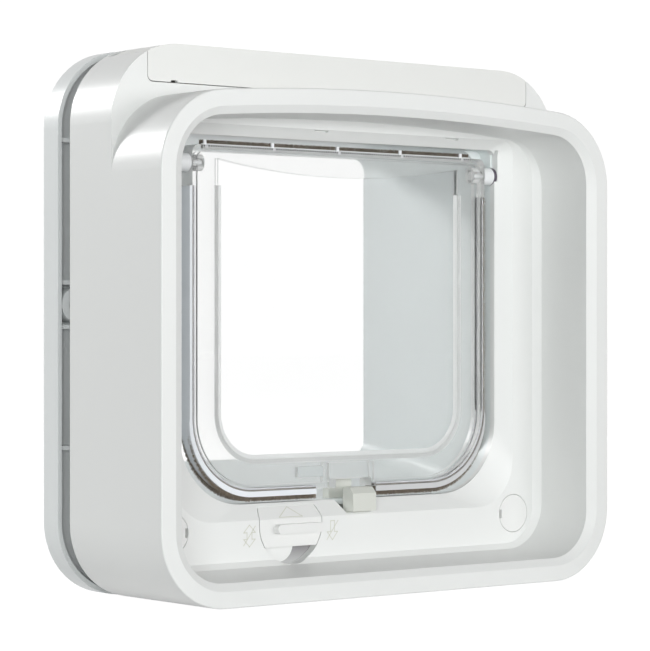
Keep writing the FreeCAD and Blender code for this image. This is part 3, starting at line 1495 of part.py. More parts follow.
def side_ribs(sketch):
    """Two ribs beside the middle boss, one low and one high, on both sides."""
    inner = tunnel_outer + s.seat_gap + s.outer_collar / 2
    reach = half_width - s.outer_wall / 2
    beside = (s.mid_boss_height - s.boss_rib_apart, s.mid_boss_height + s.boss_rib_apart)
    for height in (s.low_rib, *beside, s.high_rib):
        for left, right in ((inner, reach), (-reach, -inner)):
            rectangle(sketch, left, right, height - s.outer_rib_wide / 2, height + s.outer_rib_wide / 2)


def outer_bosses(sketch):
    both_sides(sketch, s.screw_across, s.screw_low, s.boss_radius)
    both_sides(sketch, s.high_screw_across, s.screw_high, s.boss_radius)
    both_sides(sketch, s.mid_boss_across, s.mid_boss_height, s.mid_boss_radius)


def boss_holes(sketch):
    both_sides(sketch, s.screw_across, s.screw_low, shank_hole)
    both_sides(sketch, s.high_screw_across, s.screw_high, shank_hole)
    both_sides(sketch, s.mid_boss_across, s.mid_boss_height, s.mid_boss_radius / 2)


pad_between(outer, "outer_skin", outer_front, outer_rear, frame_outline)
round_edges_at(outer, "outer_rounding", outer_rear, s.outer_round)
pocket_between(outer, "outer_hollow", outer_front, outer_rear - s.outer_face, outer_hollow)
pocket_between(outer, "outer_opening", outer_front, outer_rear, outer_opening)
face_middle = outer_rear - s.outer_face / 2
pad_between(outer, "side_ribs", outer_front + s.outer_wall, face_middle, side_ribs)
pad_between(outer, "outer_bosses", outer_front + s.outer_wall / 2, face_middle, outer_bosses)
pocket_between(outer, "boss_holes", outer_front, outer_rear - s.outer_face, boss_holes)


# Check every object, then write one file for each piece.

PIECES = [
    housing, rear_cover, tunnel, coil, flap, flap_magnet, sill_magnet, *piles, pile_top, *hinge_pins,
    front_latch, rear_latch, *cams, *motors, knob, clip, *caps, screws, cover, *cover_pins, *cells,
    contacts, button, board, outer,
]

doc.recompute()
for item in doc.Objects:
    if "Invalid" in item.State or "Error" in item.State:
        raise ValueError(f"{item.Label} failed: {item.State}")
for piece in PIECES:
    if piece.Shape.isNull() or not piece.Shape.isValid():
        raise ValueError(f"{piece.Label} has no valid shape")
for piece in PIECES:
    piece.Shape.exportStep(f"parts/{piece.Label}.step")
    print(f"{piece.Label}: {len(piece.Shape.Solids)} solid(s), {piece.Shape.Volume:.0f} mm3")
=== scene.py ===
import math

import bmesh
import bpy
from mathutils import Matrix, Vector


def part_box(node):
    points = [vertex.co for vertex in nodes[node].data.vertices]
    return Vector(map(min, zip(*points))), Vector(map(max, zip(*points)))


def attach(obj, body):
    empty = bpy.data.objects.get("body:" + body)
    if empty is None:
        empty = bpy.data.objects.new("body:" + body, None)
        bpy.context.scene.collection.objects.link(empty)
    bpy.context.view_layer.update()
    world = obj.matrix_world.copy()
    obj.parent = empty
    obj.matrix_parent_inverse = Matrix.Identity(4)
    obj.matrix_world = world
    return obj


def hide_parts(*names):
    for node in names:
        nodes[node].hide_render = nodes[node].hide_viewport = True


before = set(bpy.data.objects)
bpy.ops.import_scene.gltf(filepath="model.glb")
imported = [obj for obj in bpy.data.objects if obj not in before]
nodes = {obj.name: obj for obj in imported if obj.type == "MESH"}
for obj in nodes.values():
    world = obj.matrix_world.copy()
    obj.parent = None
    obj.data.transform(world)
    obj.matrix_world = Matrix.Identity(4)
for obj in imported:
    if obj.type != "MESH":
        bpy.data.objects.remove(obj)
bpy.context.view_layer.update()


# The camera stands indoors, to the left of the flap and level with the middle of its hood.
# It is a long lens from about a metre away, so the upright edges stay parallel.

camera_data = bpy.data.cameras.new("studio_camera")
camera_data.sensor_fit = "HORIZONTAL"
camera_data.sensor_width = 36
camera_data.lens = 143.5
camera = bpy.data.objects.new("studio_camera", camera_data)
camera.location = (-0.60484, -0.76654, 0.09699)
camera.rotation_euler = (math.radians(90), 0, math.radians(-38.66))
bpy.context.scene.collection.objects.link(camera)
bpy.context.scene.camera = camera
bpy.context.scene.view_settings.view_transform = "Standard"


# Soft studio lamps: a broad one in front, a cooler fill beside the camera on the left, and a
# small one behind on the left that draws the bright bands along the rounded corners.

LIT_POINT = Vector((0, 0, 0.1))
PLAIN_LIGHT = (1, 1, 1)
COOL_LIGHT = (0.955, 1, 0.99)


def soft_lamp(name, place, width, height, watts, colour):
    """A rectangular lamp that faces the middle of the cat flap."""
    lamp = bpy.data.lights.new(name, "AREA")
    lamp.shape = "RECTANGLE"
    lamp.size = width
    lamp.size_y = height
    lamp.energy = watts
    lamp.color = colour
    holder = bpy.data.objects.new(name, lamp)
    holder.location = place
    holder.rotation_euler = (LIT_POINT - Vector(place)).to_track_quat("-Z", "Y").to_euler()
    bpy.context.scene.collection.objects.link(holder)


soft_lamp("front_softbox", (0.35, -2.2, 0.3), 1.6, 0.6, 20.5, PLAIN_LIGHT)
soft_lamp("left_fill", (-1.5, -1.68, 0.2), 0.9, 0.4, 18, COOL_LIGHT)
soft_lamp("left_rear_strip", (-0.62, 1.23, 0.7), 0.3, 0.3, 11, PLAIN_LIGHT)


# The room is an even white. It gives the cat flap only a dim light, and is plain white where
# it is seen directly, in a gloss or through the clear flap.

ROOM_LIGHT = 0.2
ROOM_SEEN = 1.04


def join_by_view(tree, out, lighting, seen):
    """Ends a tree with one shader for the light it gives and one for what is seen of it."""
    path = tree.nodes.new("ShaderNodeLightPath")
    either = tree.nodes.new("ShaderNodeMath")
    either.operation = "MAXIMUM"
    tree.links.new(path.outputs["Is Camera Ray"], either.inputs[0])
    tree.links.new(path.outputs["Is Glossy Ray"], either.inputs[1])
    any_of = tree.nodes.new("ShaderNodeMath")
    any_of.operation = "MAXIMUM"
    tree.links.new(either.outputs[0], any_of.inputs[0])
    tree.links.new(path.outputs["Is Transmission Ray"], any_of.inputs[1])
    mix = tree.nodes.new("ShaderNodeMixShader")
    tree.links.new(any_of.outputs[0], mix.inputs[0])
    tree.links.new(lighting.outputs[0], mix.inputs[1])
    tree.links.new(seen.outputs[0], mix.inputs[2])
    tree.links.new(mix.outputs[0], out.inputs["Surface"])


world = bpy.data.worlds.new("white_room")
bpy.context.scene.world = world
world.use_nodes = True
room = world.node_tree
room.nodes.clear()
room_out = room.nodes.new("ShaderNodeOutputWorld")
room_light = room.nodes.new("ShaderNodeBackground")
room_light.inputs["Color"].default_value = (1, 1, 1, 1)
room_light.inputs["Strength"].default_value = ROOM_LIGHT
room_white = room.nodes.new("ShaderNodeBackground")
room_white.inputs["Color"].default_value = (1, 1, 1, 1)
room_white.inputs["Strength"].default_value = ROOM_SEEN
join_by_view(room, room_out, room_light, room_white)


# The floor is plain white paper. It shows as the same white as the room, with the
# soft shadow of the cat flap on it.

FLOOR_REACH = 6
FLOOR_DROP = 0.0004
PAPER_BOUNCE = 0.8
PAPER_SHADE = 0.2
PAPER_GLOW = 0.99

floor_mesh = bpy.data.meshes.new("paper_floor")
floor_mesh.from_pydata(
    [(-FLOOR_REACH, -FLOOR_REACH, 0), (FLOOR_REACH, -FLOOR_REACH, 0),
     (FLOOR_REACH, FLOOR_REACH, 0), (-FLOOR_REACH, FLOOR_REACH, 0)],
    [], [(0, 1, 2, 3)])
floor = bpy.data.objects.new("paper_floor", floor_mesh)
floor.location = (0, 0, -FLOOR_DROP)
bpy.context.scene.collection.objects.link(floor)

paper = bpy.data.materials.new("white_paper")
paper.use_nodes = True
sheet = paper.node_tree
sheet.nodes.clear()
sheet_out = sheet.nodes.new("ShaderNodeOutputMaterial")
sheet_bounce = sheet.nodes.new("ShaderNodeBsdfDiffuse")
sheet_bounce.inputs["Color"].default_value = (PAPER_BOUNCE, PAPER_BOUNCE, PAPER_BOUNCE, 1)
sheet_shade = sheet.nodes.new("ShaderNodeBsdfDiffuse")
sheet_shade.inputs["Color"].default_value = (PAPER_SHADE, PAPER_SHADE, PAPER_SHADE, 1)
sheet_glow = sheet.nodes.new("ShaderNodeEmission")
sheet_glow.inputs["Strength"].default_value = PAPER_GLOW
sheet_seen = sheet.nodes.new("ShaderNodeAddShader")
sheet.links.new(sheet_shade.outputs[0], sheet_seen.inputs[0])
sheet.links.new(sheet_glow.outputs[0], sheet_seen.inputs[1])
join_by_view(sheet, sheet_out, sheet_bounce, sheet_seen)
floor_mesh.materials.append(paper)


# The housing is one white moulding: body, hood, fascia and battery bay. It has a fine spark
# grain from the mould, a satin gloss and a faint unevenness where the plastic flowed.

SPARK_SCALE = 2600
SPARK_DEPTH = 0.00006
STREAK_SCALE = 22
STREAK_DETAIL = 3
GLOSS_CHANGE = 0.03


def fresh_material(name):
    """A new material, its tree, its shader and the socket of the piece's own coordinates."""
    material = bpy.data.materials.new(name)
    material.use_nodes = True
    tree = material.node_tree
    tree.nodes.clear()
    out = tree.nodes.new("ShaderNodeOutputMaterial")
    shader = tree.nodes.new("ShaderNodeBsdfPrincipled")
    place = tree.nodes.new("ShaderNodeTexCoord")
    tree.links.new(shader.outputs[0], out.inputs["Surface"])
    return material, tree, shader, place.outputs["Object"]


def noise(tree, place, scale, detail=2):
    """A cloudy pattern's value, from 0 to 1."""
    pattern = tree.nodes.new("ShaderNodeTexNoise")
    pattern.inputs["Scale"].default_value = scale
    pattern.inputs["Detail"].default_value = detail
    tree.links.new(place, pattern.inputs["Vector"])
    return pattern.outputs["Fac"]


def blend_colour(tree, shader, factor, first, second):
    """Gives the shader its first colour where factor is 0 and its second where it is 1."""
    tone = tree.nodes.new("ShaderNodeMix")
    tone.data_type = "RGBA"
    tone.inputs["A"].default_value = (*first, 1)
    tone.inputs["B"].default_value = (*second, 1)
    tree.links.new(factor, tone.inputs["Factor"])
    tree.links.new(tone.outputs["Result"], shader.inputs["Base Color"])


def vary_gloss(tree, shader, factor, smoothest, roughest):
    """Lets the shader's roughness follow factor between two values."""
    gloss = tree.nodes.new("ShaderNodeMapRange")
    gloss.inputs["To Min"].default_value = smoothest
    gloss.inputs["To Max"].default_value = roughest
    tree.links.new(factor, gloss.inputs["Value"])
    tree.links.new(gloss.outputs["Result"], shader.inputs["Roughness"])


def add_bump(tree, shader, height, strength, depth):
    """Roughens the surface by a height pattern, depth in metres."""
    bump = tree.nodes.new("ShaderNodeBump")
    bump.inputs["Strength"].default_value = strength
    bump.inputs["Distance"].default_value = depth
    tree.links.new(height, bump.inputs["Height"])
    tree.links.new(bump.outputs["Normal"], shader.inputs["Normal"])


def moulded_plastic(name, colour, roughness, grain, flow=0.02):
    """An opaque moulding. grain is how strong the mould's texture is, and flow how uneven the colour."""
    material, tree, shader, place = fresh_material(name)
    shader.inputs["IOR"].default_value = 1.5
    add_bump(tree, shader, noise(tree, place, SPARK_SCALE), grain, SPARK_DEPTH)
    streaks = noise(tree, place, STREAK_SCALE, STREAK_DETAIL)
    deeper = [channel * (1 - flow) for channel in colour]
    blend_colour(tree, shader, streaks, deeper, colour)
    vary_gloss(tree, shader, streaks, roughness - GLOSS_CHANGE, roughness + GLOSS_CHANGE)
    return material


def finish_node(name, material):
    """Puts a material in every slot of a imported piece."""
    for slot in nodes[name].material_slots:
        slot.material = material


housing_white = moulded_plastic("housing_white", (0.85, 0.855, 0.845), 0.36, 0.25)
finish_node("front_housing", housing_white)


# The exterior frame and the plate that closes the housing's back are moulded in cooler whites.
# The frame has the housing's satin gloss, and the plate, seen only in the door's gap, is matt. The
# plate's darker mauve tone is painted shade of that gap.

shell_white = moulded_plastic("shell_white", (0.83, 0.85, 0.85), 0.34, 0.2)
plate_white_painted_shade = moulded_plastic("plate_white_painted_shade", (0.78, 0.76, 0.78), 0.55, 0.4)
finish_node("exterior_frame", shell_white)
finish_node("rear_cover", plate_white_painted_shade)


# The tunnel is a smooth cool-white tube with a ramped floor, pushed into the housing's
# collar. The coil that reads the chip is wound round it in lacquered copper.

DRAWN_ALONG_X = (0.05, 1, 1)
DRAWN_SCALE = 900
DRAWN_STRENGTH = 0.3
DRAWN_DEPTH = 0.00005
DRAWN_GLOSS_CHANGE = 0.08

tunnel_white = moulded_plastic("tunnel_white", (0.82, 0.86, 0.86), 0.4, 0.2)
finish_node("tunnel", tunnel_white)


def drawn_metal(name, colour, roughness, metallic=1.0):
    """Metal with fine lines along X, as drawn or wound stock has."""
    material, tree, shader, place = fresh_material(name)
    shader.inputs["Metallic"].default_value = metallic
    shader.inputs["Base Color"].default_value = (*colour, 1)
    stretch = tree.nodes.new("ShaderNodeMapping")
    stretch.inputs["Scale"].default_value = DRAWN_ALONG_X
    tree.links.new(place, stretch.inputs["Vector"])
    lines = noise(tree, stretch.outputs[0], DRAWN_SCALE)
    add_bump(tree, shader, lines, DRAWN_STRENGTH, DRAWN_DEPTH)
    vary_gloss(tree, shader, lines, roughness - DRAWN_GLOSS_CHANGE, roughness + DRAWN_GLOSS_CHANGE)
    return material


finish_node("reader_coil", drawn_metal("lacquered_copper", (0.55, 0.22, 0.1), 0.35))


# The flap is one clear moulding that hangs on the hinge pins. Its thin pane is polished, the
# thicker web and border round it are a little milky, and the steps and edges are frosted.

MM = 0.001
CLEAR_ABSORBS = 9
WAVE_SCALE = 60
WEB_SHARE = 0.4
FACE_TURN = 0.9
MERGE_DISTANCE = 0.001 * MM


def clear_plastic(name, tint, roughness, clearness):
    """Clear plastic. The part that is not clear is milky."""
    material, tree, shader, place = fresh_material(name)
    shader.inputs["IOR"].default_value = 1.49
    shader.inputs["Transmission Weight"].default_value = clearness
    waves = noise(tree, place, WAVE_SCALE)
    blend_colour(tree, shader, waves, [channel * 0.985 for channel in tint], tint)
    vary_gloss(tree, shader, waves, roughness, roughness + 0.02)
    body = tree.nodes.new("ShaderNodeVolumeAbsorption")
    body.inputs["Color"].default_value = (0, 0.04, 0.02, 1)
    body.inputs["Density"].default_value = CLEAR_ABSORBS
    tree.links.new(body.outputs[0], tree.nodes["Material Output"].inputs["Volume"])
    return material


def rigid_piece(name, mesh, body):
    """A piece with its place in its mesh, carried by a body of the mechanism."""
    piece = bpy.data.objects.new(name, mesh)
    bpy.context.scene.collection.objects.link(piece)
    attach(piece, body)
    return piece


polished_clear = clear_plastic("polished_clear", (0.995, 0.997, 0.996), 0.01, 1)
border_clear = clear_plastic("border_clear", (0.97, 0.975, 0.97), 0.03, 0.93)
edge_clear = clear_plastic("edge_clear", (0.97, 0.975, 0.97), 0.3, 0.3)

flap_low, flap_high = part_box("flap")
flap_middle = (flap_low.y + flap_high.y) / 2
web_depth = (flap_high.y - flap_low.y) / 2 * WEB_SHARE

# Light bends properly only through a closed skin, so the triangles of a copy are joined.
flap_mesh = bpy.data.meshes.new("clear_flap")
flap_skin = bmesh.new()
flap_skin.from_mesh(nodes["flap"].data)
bmesh.ops.remove_doubles(flap_skin, verts=flap_skin.verts, dist=MERGE_DISTANCE)
flap_skin.to_mesh(flap_mesh)
flap_skin.free()
flap_mesh.materials.clear()
for material in (polished_clear, border_clear, edge_clear):
    flap_mesh.materials.append(material)
for face in flap_mesh.polygons:
    beyond_pane = abs(face.center.y - flap_middle) > web_depth
    on_edge = abs(face.normal.y) < FACE_TURN
    face.material_index = 2 if on_edge else int(beyond_pane)
flap_mesh.shade_flat()
clear_flap = rigid_piece("clear_flap", flap_mesh, "swinging_set")
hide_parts("flap")


# Two plated magnets bring the flap back to the middle: one is pressed into its lower edge
# and one lies under the sill.

magnet_grey = drawn_metal("plated_magnet", (0.5, 0.53, 0.53), 0.5, 0.3)
finish_node("flap_magnet", magnet_grey)
finish_node("sill_magnet", magnet_grey)


# Brush pile seals run in the flap's grooves: a woven backing strip with short dense bristles
# that reach past the flap's edge. Each bristle stands square to the edge it follows.

BRISTLE_LEAN = 0.12
BRISTLE_SHORTEST = 0.88
BRISTLE_SIDES = 3
BRISTLE_PITCH = 0.035 * MM
BRISTLE_THICK = 0.1 * MM
BRISTLE_ROW = 0.62 * MM
SIDE_REACH = 2.3 * MM
LOW_REACH = 5 * MM
BACKING_THICK = 0.5 * MM
BACKING_WIDTH = 1.5 * MM
ARC_STEPS = 24
PILE_ROOT = {"half": 68.3 * MM, "low": 38.4 * MM, "corner": 25.8 * MM,
             "top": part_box("pile_front_right")[1].z}

pile_brown, pile_tree, pile_shader, pile_place = fresh_material("brush_pile")
pile_shader.inputs["Roughness"].default_value = 0.9
pile_shader.inputs["Sheen Weight"].default_value = 0.3
blend_colour(pile_tree, pile_shader, noise(pile_tree, pile_place, 900),
             (0.1, 0.08, 0.06), (0.32, 0.26, 0.2))
pile_backing = moulded_plastic("pile_backing", (0.8, 0.81, 0.86), 0.6, 0.5, 0.2)


def bristle_tree():
    """A tree that plants bristles along a path in the XZ plane, pointing away from the flap."""
    tree = bpy.data.node_groups.new("bristles", "GeometryNodeTree")
    face = tree.interface
    face.new_socket("Geometry", in_out="INPUT", socket_type="NodeSocketGeometry")
    for label in ("Pitch", "Side length", "Low length", "Row width", "Thickness", "Outward"):
        face.new_socket(label, in_out="INPUT", socket_type="NodeSocketFloat")
    face.new_socket("Material", in_out="INPUT", socket_type="NodeSocketMaterial")
    face.new_socket("Geometry", in_out="OUTPUT", socket_type="NodeSocketGeometry")
    link = tree.links.new

    def node(kind, **settings):
        made = tree.nodes.new(kind)
        for key, value in settings.items():
            setattr(made, key, value)
        return made

    # The path becomes evenly spaced points that remember which way is outward.
    given = node("NodeGroupInput")
    to_curve = node("GeometryNodeMeshToCurve")
    resample = node("GeometryNodeResampleCurve", mode="LENGTH")
    tangent = node("GeometryNodeInputTangent")
    across = node("ShaderNodeCombineXYZ")
    outward = node("ShaderNodeVectorMath", operation="CROSS_PRODUCT")
    keep = node("GeometryNodeCaptureAttribute")
    keep.capture_items.new("VECTOR", "Outward")
    points = node("GeometryNodeCurveToPoints", mode="EVALUATED")
    link(given.outputs["Geometry"], to_curve.inputs["Mesh"])
    link(to_curve.outputs["Curve"], resample.inputs["Curve"])
    link(given.outputs["Pitch"], resample.inputs["Length"])
    link(given.outputs["Outward"], across.inputs["Y"])
    link(tangent.outputs["Tangent"], outward.inputs[0])
    link(across.outputs[0], outward.inputs[1])
    link(resample.outputs["Curve"], keep.inputs["Geometry"])
    link(outward.outputs["Vector"], keep.inputs["Outward"])
    link(keep.outputs["Geometry"], points.inputs["Curve"])

    # The points are strewn over the row's width.
    move = node("GeometryNodeSetPosition")
    offset = node("FunctionNodeRandomValue", data_type="FLOAT_VECTOR")
    row_edge = node("ShaderNodeCombineXYZ")
    other_edge = node("ShaderNodeVectorMath", operation="SCALE")
    other_edge.inputs["Scale"].default_value = -1
    offset.inputs["Seed"].default_value = 3
    link(given.outputs["Row width"], row_edge.inputs["Y"])
    link(row_edge.outputs[0], other_edge.inputs[0])
    link(other_edge.outputs["Vector"], offset.inputs["Min"])
    link(row_edge.outputs[0], offset.inputs["Max"])
    link(points.outputs["Points"], move.inputs["Geometry"])
    link(offset.outputs["Value"], move.inputs["Offset"])

    # Each bristle aims outward and leans a little at random.
    lean = node("FunctionNodeRandomValue", data_type="FLOAT_VECTOR")
    aim = node("ShaderNodeVectorMath", operation="ADD")
    turn = node("FunctionNodeAlignRotationToVector", axis="Z")
    lean.inputs["Min"].default_value = (-BRISTLE_LEAN, -BRISTLE_LEAN, -BRISTLE_LEAN)
    lean.inputs["Max"].default_value = (BRISTLE_LEAN, BRISTLE_LEAN, BRISTLE_LEAN)
    lean.inputs["Seed"].default_value = 5
    link(keep.outputs["Outward"], aim.inputs[0])
    link(lean.outputs["Value"], aim.inputs[1])
    link(aim.outputs["Vector"], turn.inputs["Vector"])

    # Its length goes from the side's to the bottom's as the path turns down, cut unevenly.
    split = node("ShaderNodeSeparateXYZ")
    down = node("ShaderNodeMapRange")
    longer = node("ShaderNodeMapRange")
    uneven = node("FunctionNodeRandomValue", data_type="FLOAT")
    length = node("ShaderNodeMath", operation="MULTIPLY")
    scale = node("ShaderNodeCombineXYZ")
    down.inputs["From Min"].default_value = 0
    down.inputs["From Max"].default_value = -1
    uneven.inputs["Min"].default_value = BRISTLE_SHORTEST
    uneven.inputs["Max"].default_value = 1
    uneven.inputs["Seed"].default_value = 9
    scale.inputs["X"].default_value = 1
    scale.inputs["Y"].default_value = 1
    link(keep.outputs["Outward"], split.inputs[0])
    link(split.outputs["Z"], down.inputs["Value"])
    link(down.outputs["Result"], longer.inputs["Value"])
    link(given.outputs["Side length"], longer.inputs["To Min"])
    link(given.outputs["Low length"], longer.inputs["To Max"])
    link(longer.outputs["Result"], length.inputs[0])
    link(uneven.outputs["Value"], length.inputs[1])
    link(length.outputs[0], scale.inputs["Z"])

    # A bristle is a thin tapered rod, planted on every point.
    bristle = node("GeometryNodeMeshCone")
    tip = node("ShaderNodeMath", operation="MULTIPLY")
    plant = node("GeometryNodeInstanceOnPoints")
    realize = node("GeometryNodeRealizeInstances")
    paint = node("GeometryNodeSetMaterial")
    result = node("NodeGroupOutput")
    bristle.inputs["Vertices"].default_value = BRISTLE_SIDES
    bristle.inputs["Depth"].default_value = 1
    tip.inputs[1].default_value = 0.5
    link(given.outputs["Thickness"], bristle.inputs["Radius Bottom"])
    link(given.outputs["Thickness"], tip.inputs[0])
    link(tip.outputs[0], bristle.inputs["Radius Top"])
    link(move.outputs["Geometry"], plant.inputs["Points"])
    link(bristle.outputs["Mesh"], plant.inputs["Instance"])
    link(turn.outputs["Rotation"], plant.inputs["Rotation"])
    link(scale.outputs[0], plant.inputs["Scale"])
    link(plant.outputs["Instances"], realize.inputs["Geometry"])
    link(realize.outputs["Geometry"], paint.inputs["Geometry"])
    link(given.outputs["Material"], paint.inputs["Material"])
    link(paint.outputs["Geometry"], result.inputs["Geometry"])
    return tree


bristles = bristle_tree()


def grown(name, path, sizes):
    """Runs the bristle tree on a path of points and returns the plain mesh."""
    line_mesh = bpy.data.meshes.new(name + "_path")
    line_mesh.from_pydata(path, [(i, i + 1) for i in range(len(path) - 1)], [])
    holder = bpy.data.objects.new(name + "_path", line_mesh)
    bpy.context.scene.collection.objects.link(holder)
    modifier = holder.modifiers.new("bristles", "NODES")
    modifier.node_group = bristles
    for item in bristles.interface.items_tree:
        if item.item_type == "SOCKET" and item.in_out == "INPUT" and item.name in sizes:
            modifier[item.identifier] = sizes[item.name]
    evaluated = holder.evaluated_get(bpy.context.evaluated_depsgraph_get())
    mesh = bpy.data.meshes.new_from_object(evaluated)
    holder.modifiers.remove(modifier)
    bpy.data.objects.remove(holder)
    return mesh


def plain_mesh(name, verts, faces, material):
    """A mesh in one material."""
    mesh = bpy.data.meshes.new(name)
    mesh.from_pydata(verts, [], faces)
    mesh.materials.append(material)
    return mesh


def box_section(reach, width):
    """The corners of a strip's cross-section, as distances outward and along Y."""
    return [(0, -width / 2), (0, width / 2), (reach, width / 2), (reach, -width / 2)]


def band_strip(name, path, outward, section, material):
    """The mesh of a strip of one cross-section that follows a path in the XZ plane."""
    verts, faces = [], []
    corners = len(section)
    for (x, y, z), (nx, nz) in zip(path, outward):
        for out, across in section:
            verts.append((x + nx * out, y + across, z + nz * out))
    for ring in range(len(path) - 1):
        near = ring * corners
        far = near + corners
        for k in range(corners):
            after = (k + 1) % corners
            faces.append((near + k, near + after, far + after, far + k))
    last = (len(path) - 1) * corners
    faces.append(tuple(reversed(range(corners))))
    faces.append(tuple(range(last, last + corners)))
    mesh = plain_mesh(name, verts, faces, material)
    skin = bmesh.new()
    skin.from_mesh(mesh)
    bmesh.ops.recalc_face_normals(skin, faces=skin.faces)
    skin.to_mesh(mesh)
    skin.free()
    return mesh


def side_path(side, depth, end, outline):
    """Down one side, round the lower corner and along the bottom, with the outward direction."""
    corner = outline["corner"]
    centre_x = outline["half"] - corner
    centre_z = outline["low"] + corner
    path = [(side * outline["half"], depth, outline["top"])]
    outward = [(side, 0)]
    for step in range(ARC_STEPS + 1):
        angle = math.pi / 2 * step / ARC_STEPS
        path.append((side * (centre_x + corner * math.cos(angle)), depth,
                     centre_z - corner * math.sin(angle)))
        outward.append((side * math.cos(angle), -math.sin(angle)))
    path.append((end, depth, outline["low"]))
    outward.append((0, -1))
    return path, outward


def pile_piece(node, path, outward, side_length, low_length, turn):
    """One pile seal in the place of its packed strip: bristles and the backing they are woven in."""
    mesh = grown(node, path, {
        "Pitch": BRISTLE_PITCH, "Side length": side_length, "Low length": low_length,
        "Row width": BRISTLE_ROW, "Thickness": BRISTLE_THICK, "Outward": turn, "Material": pile_brown,
    })
    bristle_piece = rigid_piece(node + "_bristles", mesh, "swinging_set")
    backing = band_strip(node + "_backing", path, outward, box_section(BACKING_THICK, BACKING_WIDTH),
                         pile_backing)
    rigid_piece(node + "_backing", backing, "swinging_set")
    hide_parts(node)


# The grooves' outer lips are part of the clear flap's trim. A thin lip stands along the face of
# each row, and on the left a rail wraps the front row and the side that the camera sees. The
# rail's paler colour is painted light: it brightens a side that lies in shade.

FLAP_EDGE = 1.2 * MM
LIP_REACH = 2 * MM
LIP_THICK = 0.3 * MM
LIP_LIFT = 0.2 * MM
RAIL_SHIFT = 1.6 * MM
RAIL_WIDTH = 5.6 * MM
RAIL_REACH = 1.1 * MM
# The rail is paler than the lips as painted light on its shaded side.
rail_painted_light = moulded_plastic("rail_painted_light", (0.86, 0.88, 0.92), 0.25, 0.1)
lip_grey = moulded_plastic("lip_grey", (0.62, 0.62, 0.63), 0.3, 0.1)


def lip_strip(name, path, outward, depth, width, side_reach, material):
    """A lip over a row's face, from side_reach at the sides to LIP_REACH along the bottom."""
    edge_path, edge_outward = [], []
    for (x, _, z), (nx, nz) in zip(path, outward):
        reach = side_reach + (LIP_REACH - side_reach) * math.sqrt(max(-nz, 0))
        edge_path.append((x + nx * FLAP_EDGE, depth, z + nz * FLAP_EDGE))
        edge_outward.append((nx * reach, nz * reach))
    mesh = band_strip(name, edge_path, edge_outward, box_section(1, width), material)
    rigid_piece(name, mesh, "swinging_set")


for row in ("front", "rear"):
    for side, word in ((-1, "left"), (1, "right")):
        node = f"pile_{row}_{word}"
        low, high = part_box(node)
        depth = (low.y + high.y) / 2
        end = high.x if side < 0 else low.x
        path, outward = side_path(side, depth, end, PILE_ROOT)
        pile_piece(node, path, outward, SIDE_REACH, LOW_REACH, side)
        if node == "pile_front_left":
            lip_strip("lip_front_left", path, outward, depth + RAIL_SHIFT, RAIL_WIDTH, RAIL_REACH,
                      rail_painted_light)
        else:
            lip_depth = low.y - LIP_LIFT if row == "front" else high.y + LIP_LIFT
            lip_strip(f"lip_{row}_{word}", path[1:], outward[1:], lip_depth, LIP_THICK, 0, lip_grey)

top_low, top_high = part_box("pile_top")
top_depth = (top_low.y + top_high.y) / 2
top_path = [(top_low.x, top_depth, top_low.z), (top_high.x, top_depth, top_low.z)]
top_reach = top_high.z - top_low.z
pile_piece("pile_top", top_path, [(0, 1), (0, 1)], top_reach, top_reach, 1)


# A milky bevel leads from the web down to the thin pane, along its sides and its bottom. It is
# on the front of the clear moulding, and its section slopes from the web's face to the pane's.

PANE = {"half": 57 * MM, "low": 48.6 * MM, "corner": 17 * MM, "top": 147 * MM}
BEVEL_HALF = 1.7 * MM
BEVEL_THICK = 0.06 * MM
WEB_FACE = -20.74 * MM
PANE_FACE = -20.14 * MM

bevel_section = [(BEVEL_HALF, WEB_FACE), (-BEVEL_HALF, PANE_FACE),
                 (-BEVEL_HALF, PANE_FACE + BEVEL_THICK), (BEVEL_HALF, WEB_FACE + BEVEL_THICK)]
left_half, left_outward = side_path(-1, 0, 0, PANE)
right_half, right_outward = side_path(1, 0, 0, PANE)
bevel_path = left_half[:-1] + right_half[-2::-1]
bevel_outward = left_outward[:-1] + right_outward[-2::-1]
bevel_milk = clear_plastic("bevel_milk", (0.95, 0.96, 0.955), 0.4, 0.55)
bevel_mesh = band_strip("pane_bevel", bevel_path, bevel_outward, bevel_section, bevel_milk)
rigid_piece("pane_bevel", bevel_mesh, "swinging_set")


# The top pile stands in a clear channel, through which its root shows as fine dark ribs. A small
# white clip every 30 mm holds it there.

CHANNEL_FACE = -20.3
CHANNEL_HALF = 64
CHANNEL_LOW = 159.6
CHANNEL_HIGH = 161.8
ROOT_HEIGHT = 161
ROOT_HALF = 0.35
ROOT_PITCH = 300
CLIP_COUNT = 5
CLIP_START = -62.5
CLIP_PITCH = 30.35
CLIP_HALF = 0.6
CLIP_LOW = 160.2
CLIP_HIGH = 163.1
CLIP_PROUD = 0.1
CHANNEL_GAP = 0.05
CLIP_GAP = 0.04
pile_face = top_low.y / MM


def block(name, low, high, material, body):
    """A plain block between two corners in mm."""
    (x0, y0, z0), (x1, y1, z1) = low, high
    corners = [(x, y, z) for x in (x0, x1) for y in (y0, y1) for z in (z0, z1)]
    faces = [(0, 1, 3, 2), (4, 6, 7, 5), (0, 4, 5, 1), (2, 3, 7, 6), (0, 2, 6, 4), (1, 5, 7, 3)]
    mesh = plain_mesh(name, [Vector(corner) * MM for corner in corners], faces, material)
    rigid_piece(name, mesh, body)


